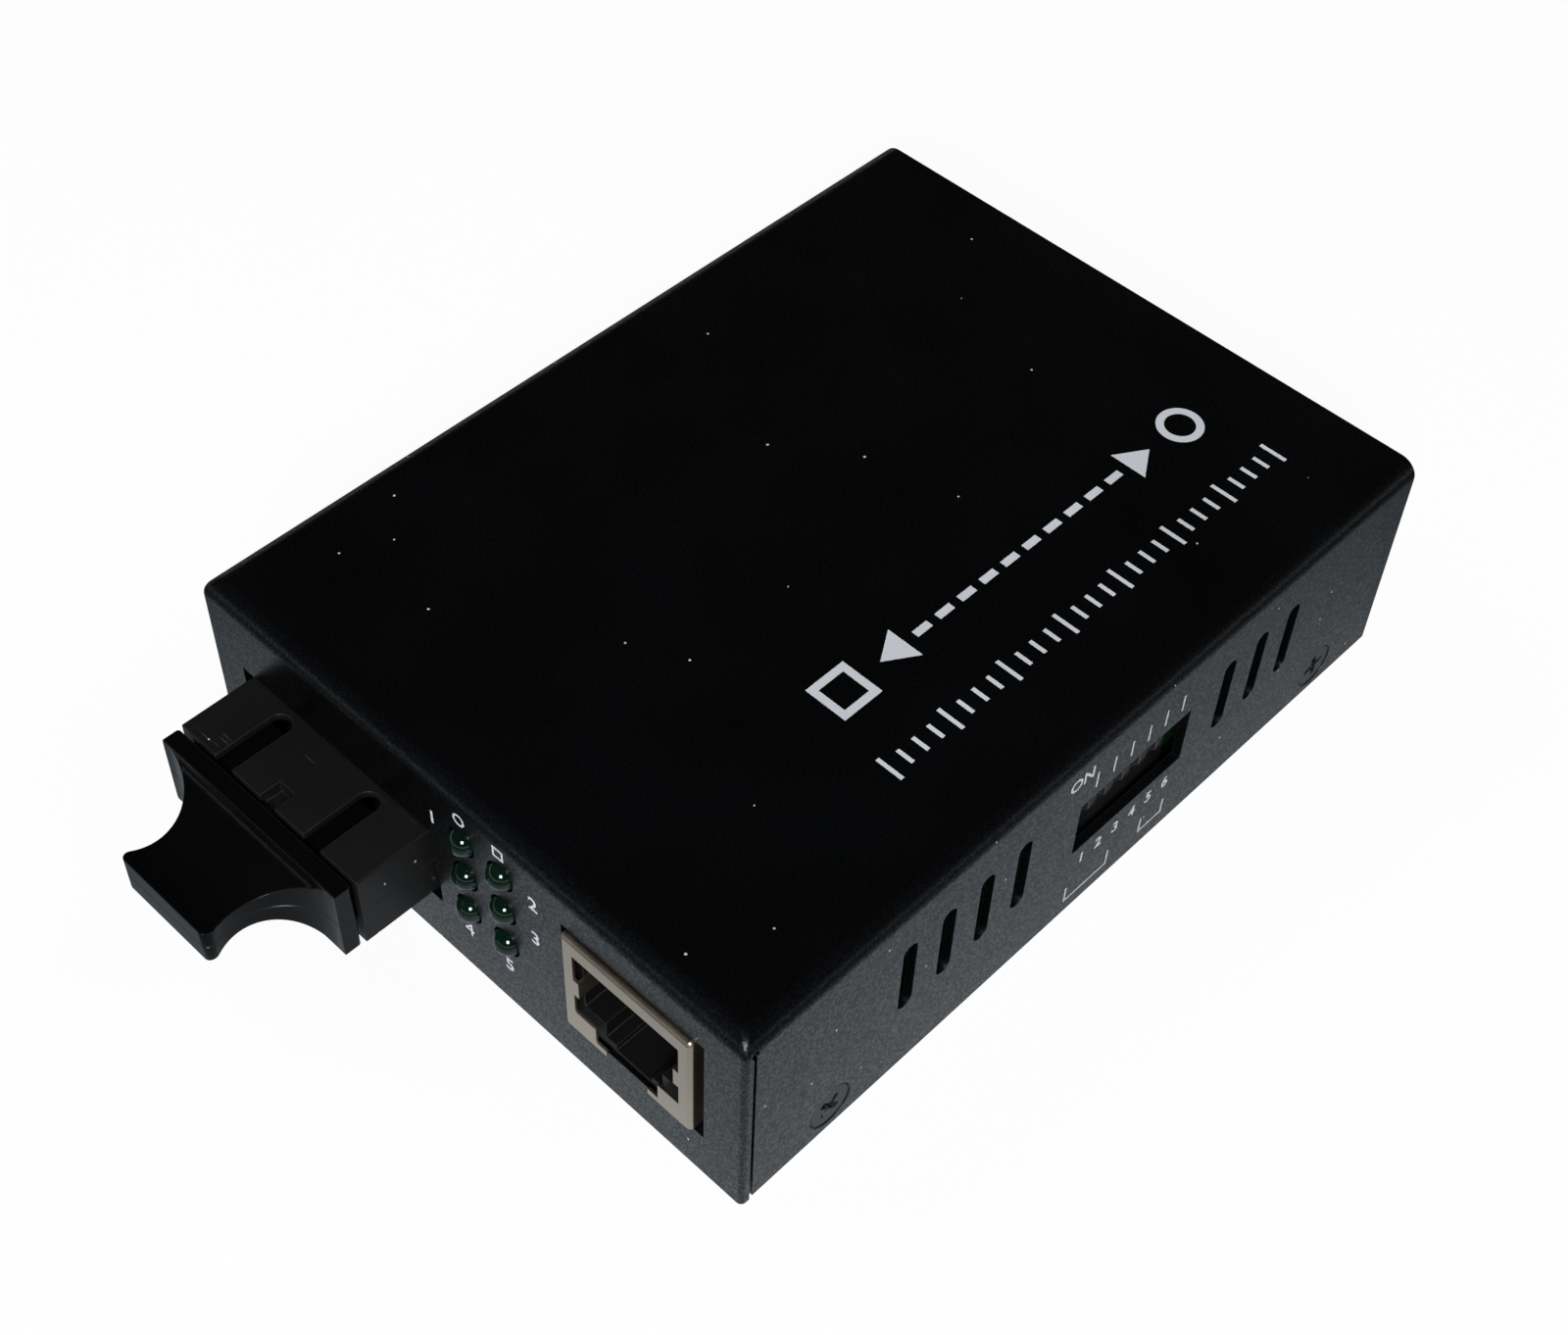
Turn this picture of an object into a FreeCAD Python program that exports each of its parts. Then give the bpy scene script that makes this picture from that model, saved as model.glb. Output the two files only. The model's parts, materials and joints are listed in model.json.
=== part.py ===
"""Fibre media converter: a folded steel case with one duplex SC fibre port, one RJ45 port,
six lamps and a six-way slide switch, and the board that carries them.

X runs across the front, Y from the port side to the power side, Z up. The origin is the
middle of the underside. All sizes are millimetres.
"""
import FreeCAD, Part
import math
import os

V = FreeCAD.Vector
ACROSS, ALONG, UP = V(1, 0, 0), V(0, 1, 0), V(0, 0, 1)

# ---- case: a folded cover over a folded tray -------------------------------------------
case_width = 71.0
case_depth = 94.0
case_height = 26.0
sheet = 1.0                    # steel thickness of cover and tray
cover_bend = 2.0               # outer bend radius of the cover
corner_gap = 0.35              # slit between the front flap and a side flap
corner_relief = 0.45           # radius of the relief at the top of that slit
front_flap_clear = 0.1         # front flap above the ground
side_flap_clear = 0.4          # side flaps above the ground
tray_bend = 1.5                # outer bend radius of the tray
tray_lip = 6.2                 # height of the tray's side flanges
tray_gap = 0.25                # play between the tray and the cover at front, sides and top
vent_length = 9.6
vent_width = 1.85
vent_pitch = 5.08
vent_low = 10.0                # lower end of the vents above the ground
vent_front = 20.2              # first vent behind the front face
vent_rear = 65.5               # first vent of the rear group
vent_count_front = 4
vent_count_rear = 3

# ---- case screws ------------------------------------------------------------------------
screw_head = 5.2
screw_head_depth = 1.1
screw_shank = 2.9
screw_length = 3.1
screw_height = 3.8             # above the ground
screw_from_front = 11.1
screw_from_back = 10.0
head_sink = 0.08               # heads lie this far below the sheet's face

# ---- main board -------------------------------------------------------------------------
standoff_height = 4.0
standoff_width = 5.5
board_thickness = 1.6
board_side_gap = 1.5           # board edge to the tray's flange
board_front_gap = 0.8          # board edge to the cover's front flap
board_rear_gap = 0.9           # board edge to the tray's rear wall
board_screw_head = 5.4
board_screw_head_height = 1.7
board_screw_end = 1.8          # its lower end above the ground
board_screw_shank = 2.8
pin_side = 0.5                 # square pins and wires
pin_tail = 0.8                 # pins below the board
standoff_side = 4.2            # rear and left standoffs, from the board's side edges
standoff_rear = 6.0            # rear standoffs, from the board's rear edge
standoff_left_front = 36.5     # front left standoff, from the front face
standoff_right_front = 23.5    # front right standoff

# ---- duplex SC transceiver --------------------------------------------------------------
module_width = 25.4
module_height = 9.1
module_length = 39.0
module_proud = 8.0             # receptacle in front of the case
module_lift = 0.8              # feet under the module
module_from_left = 18.35       # its centre from the case's left side
module_edge = 0.25             # rounding of its long edges
port_pitch = 12.7
port_width = 9.2
port_height = 7.5
port_depth = 16.0
port_back_wall = 1.6
chamber_wall = 1.4
key_width = 2.4
key_reach = 7.6
middle_notch_width = 2.1
middle_notch_length = 2.35
middle_notch_depth = 1.4
module_side_gap = 1.05         # case opening round the receptacle
module_end_gap = 0.65
sleeve_radius = 1.6
sleeve_bore = 1.25
sleeve_set_back = 5.5          # sleeve behind the receptacle's face
latch_base = 1.4
latch_tube = 2.2               # radius of the tube that holds the sleeve
latch_reach = 6.5
latch_thickness = 0.9
latch_side_gap = 0.5
latch_height = 4.0
latch_hook = 0.5
can_radius = 2.8
can_length = 5.0
module_board_thickness = 1.0
module_board_gap = 2.0         # cans to the module's own board
pin_pitch = 2.54
module_pin_back = 3.4          # pin row from the module's rear end
module_stud_back = 13.0        # studs behind the receptacle's face
module_stud_radius = 0.75
module_stud_spread = 20.32
foot_size = 3.0

# ---- dust plug --------------------------------------------------------------------------
plug_gap = 0.45                # flange to the receptacle's face
plug_side_inset = 0.2          # flange inside the receptacle's outline, at the sides
plug_top_inset = 0.1           # and at top and bottom
plug_flange_thickness = 1.85
finger_radius = 6.2            # finger hollows on both sides of the grip
grip_waist = 11.1              # width between the hollows
grip_thickness = 3.2           # at the waist
grip_tip = 3.65                # grip's end beyond the hollows' centres
grip_corner = 0.8
flange_corner = 0.35
tongue_clear = 0.3             # tongue to the port's walls
tongue_length = 7.0
tongue_bore = 2.7              # radius of the hole that passes over the sleeve's tube

# ---- RJ45 jack --------------------------------------------------------------------------
jack_width = 15.9
jack_height = 13.9
jack_depth = 18.0
jack_proud = 0.5
jack_from_right = 13.75        # its centre from the case's right side
jack_sheet = 0.3
jack_bend = 0.5
jack_gap_left = 0.3            # case opening round the shield
jack_gap_right = 1.1
jack_top_gap = 0.45
jack_bottom_gap = 0.3
window_width = 13.0
window_low = 2.9               # window above the board
window_height = 8.8
step_width = 7.8               # latch opening, upper step
step_drop = 2.15
latch_width = 5.2              # latch opening, lower step, open at the bottom
lip_line = 0.5                 # folded lip along the top of the face
lip_groove = 0.12
ground_tab_height = 2.3
ground_tab_length = 5.0
ground_tab_low = 2.8           # tab above the window's lower edge
insert_set_back = 0.9
insert_inset = 0.35            # the insert's mouth is this much smaller than the window
insert_depth = 13.0
insert_floor = 0.4             # thickness below its latch channel
wire_count = 8
wire_pitch = 1.016
wire_side = 0.4
wire_level = 12.2              # middle of the wires' upper run above the board
wire_front = 2.6               # where the wires turn back, behind the jack's face
wire_tip_back = 10.4
wire_tip_level = 8.8
wire_row_gap = 1.5             # the wires leave the jack in two rows
leg_width = 1.2

# ---- lamps ------------------------------------------------------------------------------
lamp_share = 0.417             # lamp block's place in the gap between the two ports
lamp_pitch = 5.08
lamp_columns = 2
lamp_rows = 3
lamp_first = 3.2               # lowest lamp's axis above the board
lamp_radius = 1.5
lamp_rim_radius = 1.9
lamp_rim = 1.0
lamp_proud = 1.2
lamp_hole_clear = 0.2          # case holes, in radius
lamp_seat = 1.2                # front web of the holder
holder_gap = 0.4               # holder to the front flap
holder_depth = 7.0
holder_margin = 1.7            # holder's edge beyond the outer lamps' axes
holder_top_margin = 2.5        # holder's top above the upper lamps' axes
holder_roof = 0.5
lead_spread = 2.54
lead_back = 0.6                # first row of leads behind the holder
lead_step = 1.3                # rows of leads from each other

# ---- slide switch -----------------------------------------------------------------------
switch_ways = 6
switch_pitch = 2.54
switch_margin = 0.4            # body beyond the outer ways
switch_from_front = 51.6
switch_height = 10.5
switch_depth = 6.2
switch_recess = 1.1            # face behind the cover's side flap
slider_width = 1.1
slider_height = 1.6
slider_travel = 1.9
slider_proud = 0.6
slider_depth = 2.3
slider_clear = 0.3
slider_bevel = 0.3
slider_level = 6.9             # middle of the sliders' range above the board
window_length = 16.35          # switch window in the cover
window_tall = 7.3
window_base = 10.1             # window's lower edge above the ground
switch_pin_inset = 0.5         # outer pin row inside the board's edge
switch_rows_gap = 2.54

# ---- power jack -------------------------------------------------------------------------
inlet_width = 9.0
inlet_height = 11.0
inlet_depth = 14.2
inlet_flange = 3.4
inlet_proud = 0.1              # behind the rear wall's outer face
inlet_axis = 6.5               # axis above the board
inlet_bore = 3.15
inlet_bore_depth = 9.6
inlet_pin = 1.0
inlet_pin_back = 0.8           # tip behind the jack's face
inlet_pin_taper = 0.5          # length and depth of the bevel at its tip
inlet_pin_root = 1.3           # radius of its end that is pressed into the housing
inlet_pin_neck = 0.8           # radius of the groove at the bore's floor
inlet_neck_length = 0.4
inlet_gap = 0.3                # case opening round the jack
inlet_x = 0.0
inlet_tab = 0.6                # thickness of its solder tabs
inlet_tab_width = 2.0
spring_width = 3.0
spring_length = 4.8
spring_rise = 0.3              # spring above the bore's wall

# ---- board parts ------------------------------------------------------------------------
converter_size = 14.0
converter_height = 1.4
converter_lead_count = 9       # on each side
converter_pitch = 1.3
converter_place = (-6.0, 56.0)     # x, distance behind the front face
mark_radius = 0.5              # round mark at the package's first corner
mark_inset = 2.0
mark_depth = 0.12
foot_reach = 1.0               # flat leads beyond the packages
foot_thickness = 0.25
package_bevel = 0.25           # bevel round the packages' tops
transformer_length = 12.8
transformer_width = 7.2
transformer_height = 5.4
transformer_lead_count = 8     # on each side
transformer_pitch = 1.27
transformer_behind = 14.0      # its centre behind the RJ45 jack
crystal_length = 11.0
crystal_width = 4.6
crystal_height = 3.6
crystal_place = (-7.0, 39.5)
regulator_length = 6.5
regulator_width = 3.5
regulator_height = 1.6
regulator_leg_step = 2.2
regulator_tab_width = 3.3
regulator_place = (16.0, 67.0)
cap_radius = 3.15
cap_height = 7.0
cap_side = 15.0                # capacitors on both sides of the power jack
cap_from_rear = 11.0           # from the board's rear edge
cap_lead_gap = 2.5
cap_groove = 0.3               # depth of the crimp
cap_groove_height = 2.0        # crimp above the board
chip_length = 2.0
chip_width = 1.2
chip_height = 0.7
chip_rows = 5                  # along the case
chip_columns = 3               # across it
chip_row_step = 3.6
chip_column_step = 2.7
chip_from_left = 8.0           # first column from the board's left edge
chip_from_front = 60.0         # first row behind the front face

# ---- levels and faces worked out from the sizes above -----------------------------------
front = -case_depth / 2
back = case_depth / 2
side = case_width / 2
inner_side = side - sheet
board_bottom = sheet + standoff_height
deck = board_bottom + board_thickness
pin_end = board_bottom - pin_tail
board_side = inner_side - sheet - board_side_gap
board_front = front + sheet + board_front_gap
board_rear = back - sheet - board_rear_gap
tiny = 0.001

module_x = -side + module_from_left
module_front = front - module_proud
module_back = module_front + module_length
module_bottom = deck + module_lift
module_top = module_bottom + module_height
module_seam = (module_bottom + module_top) / 2
port_end = module_front + port_depth
chamber_front = port_end + port_back_wall
module_board_front = chamber_front + can_length + module_board_gap
module_board_rear = module_back - chamber_wall
module_board_top = module_seam - pin_side / 2
module_board_bottom = module_board_top - module_board_thickness
chamber_half = module_width / 2 - chamber_wall
module_pin_count = int(2 * (chamber_half - pin_side) / pin_pitch) + 1

plug_flange_width = module_width - 2 * plug_side_inset
plug_flange_height = module_height - 2 * plug_top_inset
flange_back = module_front - plug_gap
flange_front = flange_back - plug_flange_thickness
hollow_y = flange_front - finger_radius
grip_end = hollow_y - grip_tip

jack_x = side - jack_from_right
jack_face = front - jack_proud
jack_back = jack_face + jack_depth
jack_top = deck + jack_height

holder_front = front + sheet + holder_gap
holder_back = holder_front + holder_depth
lamp_tip = front - lamp_proud
rim_front = holder_front + lamp_seat
rim_back = rim_front + lamp_rim
module_edge_x = module_x + module_width / 2
jack_edge_x = jack_x - jack_width / 2
lamp_x = module_edge_x + lamp_share * (jack_edge_x - module_edge_x)

switch_y = front + switch_from_front
switch_face = inner_side - switch_recess
switch_back = switch_face - switch_depth
slider_middle = deck + slider_level
slider_rest = slider_middle - slider_travel / 2

inlet_face = back - inlet_proud
inlet_end = inlet_face - inlet_depth
inlet_floor = inlet_face - inlet_bore_depth
inlet_z = deck + inlet_axis


# ---- small helpers ----------------------------------------------------------------------
def span(middle, size):
    """The two ends of a length that is centred on a value."""
    return (middle - size / 2, middle + size / 2)


def box(x, y, z):
    """A block between three pairs of ends."""
    return Part.makeBox(x[1] - x[0], y[1] - y[0], z[1] - z[0], V(x[0], y[0], z[0]))


def rod(radius, start, end):
    """A cylinder between two points."""
    start, end = V(*start), V(*end)
    return Part.makeCylinder(radius, (end - start).Length, start, end - start)


def prism(points, direction, length):
    """A closed outline of points, pushed along a direction."""
    corners = [V(*p) for p in points]
    face = Part.Face(Part.makePolygon(corners + corners[:1]))
    return face.extrude(direction * length)


def rounded_slot(start, end, radius, direction, length):
    """A slot with round ends between two points, pushed along a direction."""
    start, end = V(*start), V(*end)
    run = (end - start).normalize()
    across = direction.cross(run) * radius
    wire = Part.Wire([
        Part.LineSegment(start + across, end + across).toShape(),
        Part.Arc(end + across, end + run * radius, end - across).toShape(),
        Part.LineSegment(end - across, start - across).toShape(),
        Part.Arc(start - across, start - run * radius, start + across).toShape(),
    ])
    return Part.Face(wire).extrude(direction * length)


def edges_at(shape, x=None, y=None, z=None):
    """The edges that lie wholly at the given coordinates."""
    def lies(low, high, wanted):
        return wanted is None or (abs(low - wanted) < tiny and abs(high - wanted) < tiny)
    found = []
    for edge in shape.Edges:
        b = edge.BoundBox
        if lies(b.XMin, b.XMax, x) and lies(b.YMin, b.YMax, y) and lies(b.ZMin, b.ZMax, z):
            found.append(edge)
    return found


def join(shapes):
    """One solid from pieces that share faces."""
    return shapes[0].multiFuse(shapes[1:]).removeSplitter()


def through_board(x, y, width=pin_side, depth=pin_side):
    """The hole that a pin of this section needs in the main board."""
    return box(span(x, width), span(y, depth), (board_bottom - sheet, deck + sheet))


# ---- case -------------------------------------------------------------------------------
def vent_places():
    """Distances of the vents' centre lines along Y."""
    first = [front + vent_front + i * vent_pitch for i in range(vent_count_front)]
    return first + [front + vent_rear + i * vent_pitch for i in range(vent_count_rear)]


def case_screw_places():
    """(which side, y) of the four case screws."""
    rows = (front + screw_from_front, back - screw_from_back)
    return [(s, y) for s in (-1, 1) for y in rows]


def lamp_places():
    """(x, z) of the lamps' axes, row by row from the board up."""
    columns = [lamp_x + (i - (lamp_columns - 1) / 2) * lamp_pitch for i in range(lamp_columns)]
    return [(x, deck + lamp_first + row * lamp_pitch) for row in range(lamp_rows) for x in columns]


def cover_openings():
    """Everything that is punched out of the front flap and the side flaps."""
    wall = (front - sheet, front + 2 * sheet)
    cuts = [
        box(span(module_x, module_width + 2 * module_side_gap), wall,
            span(module_seam, module_height + 2 * module_end_gap)),
        box((jack_edge_x - jack_gap_left, jack_edge_x + jack_width + jack_gap_right), wall,
            (deck - jack_bottom_gap, jack_top + jack_top_gap)),
        box((inner_side - sheet, side + sheet), span(switch_y, window_length),
            (window_base, window_base + window_tall)),
    ]
    for x, z in lamp_places():
        cuts.append(rod(lamp_radius + lamp_hole_clear, (x, wall[0], z), (x, wall[1], z)))
    radius = vent_width / 2
    for y in vent_places():
        for low in (-side - sheet, inner_side - sheet):
            cuts.append(rounded_slot((low, y, vent_low + radius),
                                     (low, y, vent_low + vent_length - radius),
                                     radius, ACROSS, 3 * sheet))
    return cuts


def make_cover():
    """One sheet: top, front flap and two side flaps, all folded down."""
    outer = box((-side, side), (front, back), (front_flap_clear, case_height))
    edges = edges_at(outer, z=case_height, y=front)
    edges += edges_at(outer, z=case_height, x=side) + edges_at(outer, z=case_height, x=-side)
    outer = outer.makeFillet(cover_bend, edges)
    roof = case_height - sheet
    inner = box((-inner_side, inner_side), (front + sheet, back + sheet), (-sheet, roof))
    edges = edges_at(inner, z=roof, y=front + sheet)
    edges += edges_at(inner, z=roof, x=inner_side) + edges_at(inner, z=roof, x=-inner_side)
    inner = inner.makeFillet(cover_bend - sheet, edges)

    slit = (front + sheet, front + sheet + corner_gap)
    bend_line = case_height - cover_bend
    cuts = [inner] + cover_openings()
    for low in (-side - sheet, inner_side):
        reach = (low, low + 2 * sheet)
        cuts.append(box(reach, slit, (-sheet, bend_line)))
        cuts.append(box(reach, (slit[0], back + sheet), (-sheet, side_flap_clear)))
        middle = sum(slit) / 2
        cuts.append(rod(corner_relief, (reach[0], middle, bend_line), (reach[1], middle, bend_line)))
    for which, y in case_screw_places():
        cuts.append(screw_body(which, y, screw_length))
    return outer.cut(cuts)


def make_tray():
    """One sheet: the bottom, low side flanges and the full rear wall."""
    low = front + sheet + tray_gap
    top = case_height - sheet - tray_gap
    outer = box((-inner_side, inner_side), (low, back), (0, top))
    edges = edges_at(outer, z=0, y=back)
    for x in (-inner_side, inner_side):
        edges += edges_at(outer, z=0, x=x) + edges_at(outer, z=top, x=x)
    outer = outer.makeFillet(tray_bend, edges)
    wide = inner_side - sheet
    inner = box((-wide, wide), (low - sheet, back - sheet), (sheet, top + sheet))
    edges = edges_at(inner, z=sheet, y=back - sheet) + edges_at(inner, z=sheet, x=wide)
    inner = inner.makeFillet(tray_bend - sheet, edges + edges_at(inner, z=sheet, x=-wide))

    rear_wall = back - sheet
    slit = (rear_wall - corner_gap, rear_wall)
    cuts = [inner]
    for low_x in (-side, wide):
        reach = (low_x, low_x + 2 * sheet)
        cuts.append(box(reach, (low - sheet, slit[0]), (tray_lip, top + sheet)))
        cuts.append(box(reach, slit, (tray_bend, top + sheet)))
        cuts.append(box((low_x, low_x + sheet + tray_gap) if low_x < 0 else
                        (inner_side - tray_gap, side), (rear_wall, back + sheet),
                        (tray_bend, top + sheet)))
    cuts.append(box(span(inlet_x, inlet_width + 2 * inlet_gap), (rear_wall - sheet, back + sheet),
                    (deck - inlet_gap, deck + inlet_height + inlet_gap)))
    for which, y in case_screw_places():
        cuts.append(screw_body(which, y, screw_length))
    return outer.cut(cuts)


def screw_body(which, y, length):
    """A countersunk screw through a side flap, with room above its head."""
    face = side - head_sink
    neck = face - screw_head_depth
    profile = [
        (side + sheet, 0), (side + sheet, screw_head / 2), (face, screw_head / 2),
        (neck, screw_shank / 2), (side - length, screw_shank / 2), (side - length, 0),
    ]
    corners = [V(which * x, y, screw_height + r) for x, r in profile]
    face_shape = Part.Face(Part.makePolygon(corners + corners[:1]))
    return face_shape.revolve(V(0, y, screw_height), ACROSS, 360)


def make_case_screws():
    """Four countersunk screws, their faces just below the sheet's."""
    face = side - head_sink
    screws = []
    for which, y in case_screw_places():
        clip = box((-face, face), span(y, 2 * screw_head), span(screw_height, 2 * screw_head))
        screws.append(screw_body(which, y, screw_length).common(clip))
    return screws


# ---- main board -------------------------------------------------------------------------
def standoff_places():
    """(x, y) of the board's four standoffs."""
    edge = board_side - standoff_side
    return [(-edge, front + standoff_left_front), (edge, front + standoff_right_front),
            (-edge, board_rear - standoff_rear), (edge, board_rear - standoff_rear)]


def make_board():
    """The main board with a hole for every pin that passes through it."""
    plate = box((-board_side, board_side), (board_front, board_rear), (board_bottom, deck))
    cuts = [through_board(x, y) for x, y in module_pin_places() + wire_places() + switch_pin_places()]
    cuts += [through_board(x, y) for x, y, z in lead_places()]
    cuts += [through_board(x, y) for x, y in cap_lead_places()]
    cuts += [through_board(*hole) for hole in jack_leg_holes() + inlet_tab_holes()]
    for x, y in module_stud_places():
        cuts.append(rod(module_stud_radius, (x, y, pin_end), (x, y, deck + sheet)))
    for x, y in standoff_places():
        cuts.append(rod(board_screw_shank / 2, (x, y, pin_end), (x, y, deck + sheet)))
    return plate.cut(cuts)


def make_standoffs():
    """Hexagonal standoffs that are pressed into the tray."""
    posts = []
    for x, y in standoff_places():
        ring = [(x + standoff_width / 2 * math.cos(math.radians(a)),
                 y + standoff_width / 2 * math.sin(math.radians(a)), sheet) for a in range(0, 360, 60)]
        post = prism(ring, UP, standoff_height)
        posts.append(post.cut(rod(board_screw_shank / 2, (x, y, sheet), (x, y, deck))))
    return posts


def make_board_screws():
    """Pan-head screws from the board into the standoffs."""
    screws = []
    for x, y in standoff_places():
        head = rod(board_screw_head / 2, (x, y, deck), (x, y, deck + board_screw_head_height))
        shank = rod(board_screw_shank / 2, (x, y, board_screw_end), (x, y, deck))
        screws.append(join([head, shank]))
    return screws


# ---- duplex SC transceiver --------------------------------------------------------------
def port_centres():
    """X of the two ports' axes."""
    return [module_x - port_pitch / 2, module_x + port_pitch / 2]


def module_pin_places():
    """(x, y) of the transceiver's pins."""
    y = module_back - module_pin_back
    return [(module_x + (i - (module_pin_count - 1) / 2) * pin_pitch, y)
            for i in range(module_pin_count)]


def module_stud_places():
    """(x, y) of the two studs under the receptacle."""
    y = module_front + module_stud_back
    return [(module_x + s * module_stud_spread / 2, y) for s in (-1, 1)]


def module_housing():
    """The whole transceiver housing, before it is parted at the seam."""
    body = box(span(module_x, module_width), (module_front, module_back), (module_bottom, module_top))
    long_edges = []
    for x in span(module_x, module_width):
        long_edges += edges_at(body, x=x, z=module_top) + edges_at(body, x=x, z=module_bottom)
    body = body.makeFillet(module_edge, long_edges)
    skin = (module_height - port_height) / 2
    cuts = [box(span(module_x, 2 * chamber_half), (chamber_front, module_board_rear),
                (module_bottom + skin, module_top - skin))]
    for x in port_centres():
        cuts.append(box(span(x, port_width), (module_front - sheet, port_end),
                        span(module_seam, port_height)))
        cuts.append(rod(sleeve_radius, (x, port_end - sheet, module_seam),
                        (x, chamber_front + sheet, module_seam)))
        tip = module_front + key_reach - key_width / 2
        cuts.append(rounded_slot((x, module_front - key_width, module_top - skin - sheet),
                                 (x, tip, module_top - skin - sheet),
                                 key_width / 2, UP, skin + 2 * sheet))
    cuts.append(box(span(module_x, middle_notch_width),
                    (module_front - sheet, module_front + middle_notch_length),
                    (module_top - middle_notch_depth, module_top + sheet)))
    return body.cut(cuts)


def make_upper_shell():
    """Half of the receptacle above the seam, with the two key slots."""
    half = box(span(module_x, 2 * module_width), (module_front - sheet, module_back + sheet),
               (module_seam, module_top + sheet))
    return module_housing().common(half)


def make_lower_shell():
    """Half below the seam, with its feet, its studs and the slot for the pins."""
    half = box(span(module_x, 2 * module_width), (module_front - sheet, module_back + sheet),
               (module_bottom - sheet, module_seam))
    pieces = [module_housing().common(half)]
    for x in span(module_x, module_width - foot_size - 2 * module_edge):
        for y in (board_front + foot_size, module_back - foot_size):
            pieces.append(box(span(x, foot_size), span(y, foot_size), (deck, module_bottom)))
    for x, y in module_stud_places():
        pieces.append(rod(module_stud_radius, (x, y, pin_end), (x, y, module_bottom)))
    shell = join(pieces)
    row = (module_pin_count - 1) * pin_pitch + 2 * pin_side
    skin = (module_height - port_height) / 2
    slot = box(span(module_x, row), span(module_back - module_pin_back, 3 * pin_side),
               (module_bottom - sheet, module_bottom + skin + tiny))
    return shell.cut(slot)


def make_latches():
    """In each port: a base, the tube round the sleeve and two hooked arms."""
    inserts = []
    base_front = port_end - latch_base
    tip = base_front - latch_reach
    for x in port_centres():
        base = box(span(x, port_width), (base_front, port_end), span(module_seam, port_height))
        tube = rod(latch_tube, (x, module_front + sleeve_set_back, module_seam),
                   (x, base_front, module_seam))
        pieces = [base, tube]
        for s in (-1, 1):
            outer = x + s * (port_width / 2 - latch_side_gap)
            inner = outer - s * latch_thickness
            hook = inner - s * latch_hook
            outline = [(outer, base_front), (outer, tip), (inner, tip), (hook, tip + latch_hook),
                       (hook, tip + 2 * latch_hook), (inner, tip + 3 * latch_hook),
                       (inner, base_front)]
            level = module_seam - latch_height / 2
            pieces.append(prism([(px, py, level) for px, py in outline], UP, latch_height))
        hole = rod(sleeve_radius, (x, module_front, module_seam), (x, port_end + sheet, module_seam))
        inserts.append(join(pieces).cut(hole))
    return inserts


def make_sleeves():
    """Ceramic sleeves that line up the plugs' ferrules."""
    sleeves = []
    for x in port_centres():
        start = (x, module_front + sleeve_set_back, module_seam)
        end = (x, chamber_front, module_seam)
        sleeves.append(rod(sleeve_radius, start, end).cut(rod(sleeve_bore, start, end)))
    return sleeves


def make_optical_cans():
    """Laser and detector cans behind the ports, with their leads on the module's board."""
    cans = []
    can_back = chamber_front + can_length
    for x in port_centres():
        can = rod(can_radius, (x, chamber_front, module_seam), (x, can_back, module_seam))
        leads = [box(span(x + i * pin_pitch / 2, pin_side),
                     (can_back, module_board_front + module_board_gap), span(module_seam, pin_side))
                 for i in (-1, 0, 1)]
        cans.append(join([can] + leads))
    return cans


def make_module_board():
    """The transceiver's own board, held between its side walls."""
    plate = box(span(module_x, 2 * chamber_half), (module_board_front, module_board_rear),
                (module_board_bottom, module_board_top))
    holes = [box(span(x, pin_side), span(y, pin_side),
                 (module_board_bottom - sheet, module_board_top + sheet))
             for x, y in module_pin_places()]
    return plate.cut(holes)


def make_module_chips():
    """Laser driver and receiver chips on the transceiver's board."""
    size = can_length
    y = (module_board_front + module_board_gap + module_back - module_pin_back) / 2
    return [box(span(x, size), span(y, size), (module_board_top, module_board_top + chip_height))
            for x in port_centres()]


def make_module_pins():
    """Nine pins from the transceiver's board through the main board."""
    return [box(span(x, pin_side), span(y, pin_side), (pin_end, module_board_top + pin_side))
            for x, y in module_pin_places()]


def make_dust_plug():
    """One rubber moulding: two tongues, a flange and a grip with finger hollows all round."""
    blank = box(span(module_x, plug_flange_width), (grip_end, flange_back),
                span(module_seam, plug_flange_height))
    tall = 2 * plug_flange_height
    cuts = []
    for s in (-1, 1):
        x = module_x + s * (grip_waist / 2 + finger_radius)
        cuts.append(rod(finger_radius, (x, hollow_y, module_seam - tall),
                        (x, hollow_y, module_seam + tall)))
        z = module_seam + s * plug_flange_height / 2
        left = module_x - plug_flange_width
        dip = (plug_flange_height - grip_thickness) / 2
        oval = Part.Ellipse(V(left, hollow_y + finger_radius, z), V(left, hollow_y, z + dip),
                            V(left, hollow_y, z))
        cuts.append(Part.Face(Part.Wire(oval.toShape())).extrude(ACROSS * 2 * plug_flange_width))
    grip = blank.cut(cuts)
    corners = [e for e in edges_at(grip, y=grip_end) if e.BoundBox.XLength < tiny]
    grip = grip.makeFillet(grip_corner, corners)
    ends = []
    for x in span(module_x, plug_flange_width):
        ends += edges_at(grip, x=x, y=flange_back)
    grip = grip.makeFillet(flange_corner, ends)
    pieces = [grip]
    tip = module_front + tongue_length
    for x in port_centres():
        tongue = box(span(x, port_width - 2 * tongue_clear), (flange_back, tip),
                     span(module_seam, port_height - 2 * tongue_clear))
        pieces.append(tongue.makeChamfer(2 * tongue_clear, edges_at(tongue, y=tip)))
    holes = [rod(tongue_bore, (x, flange_back, module_seam), (x, tip + sheet, module_seam))
             for x in port_centres()]
    return join(pieces).cut(holes)


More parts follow.
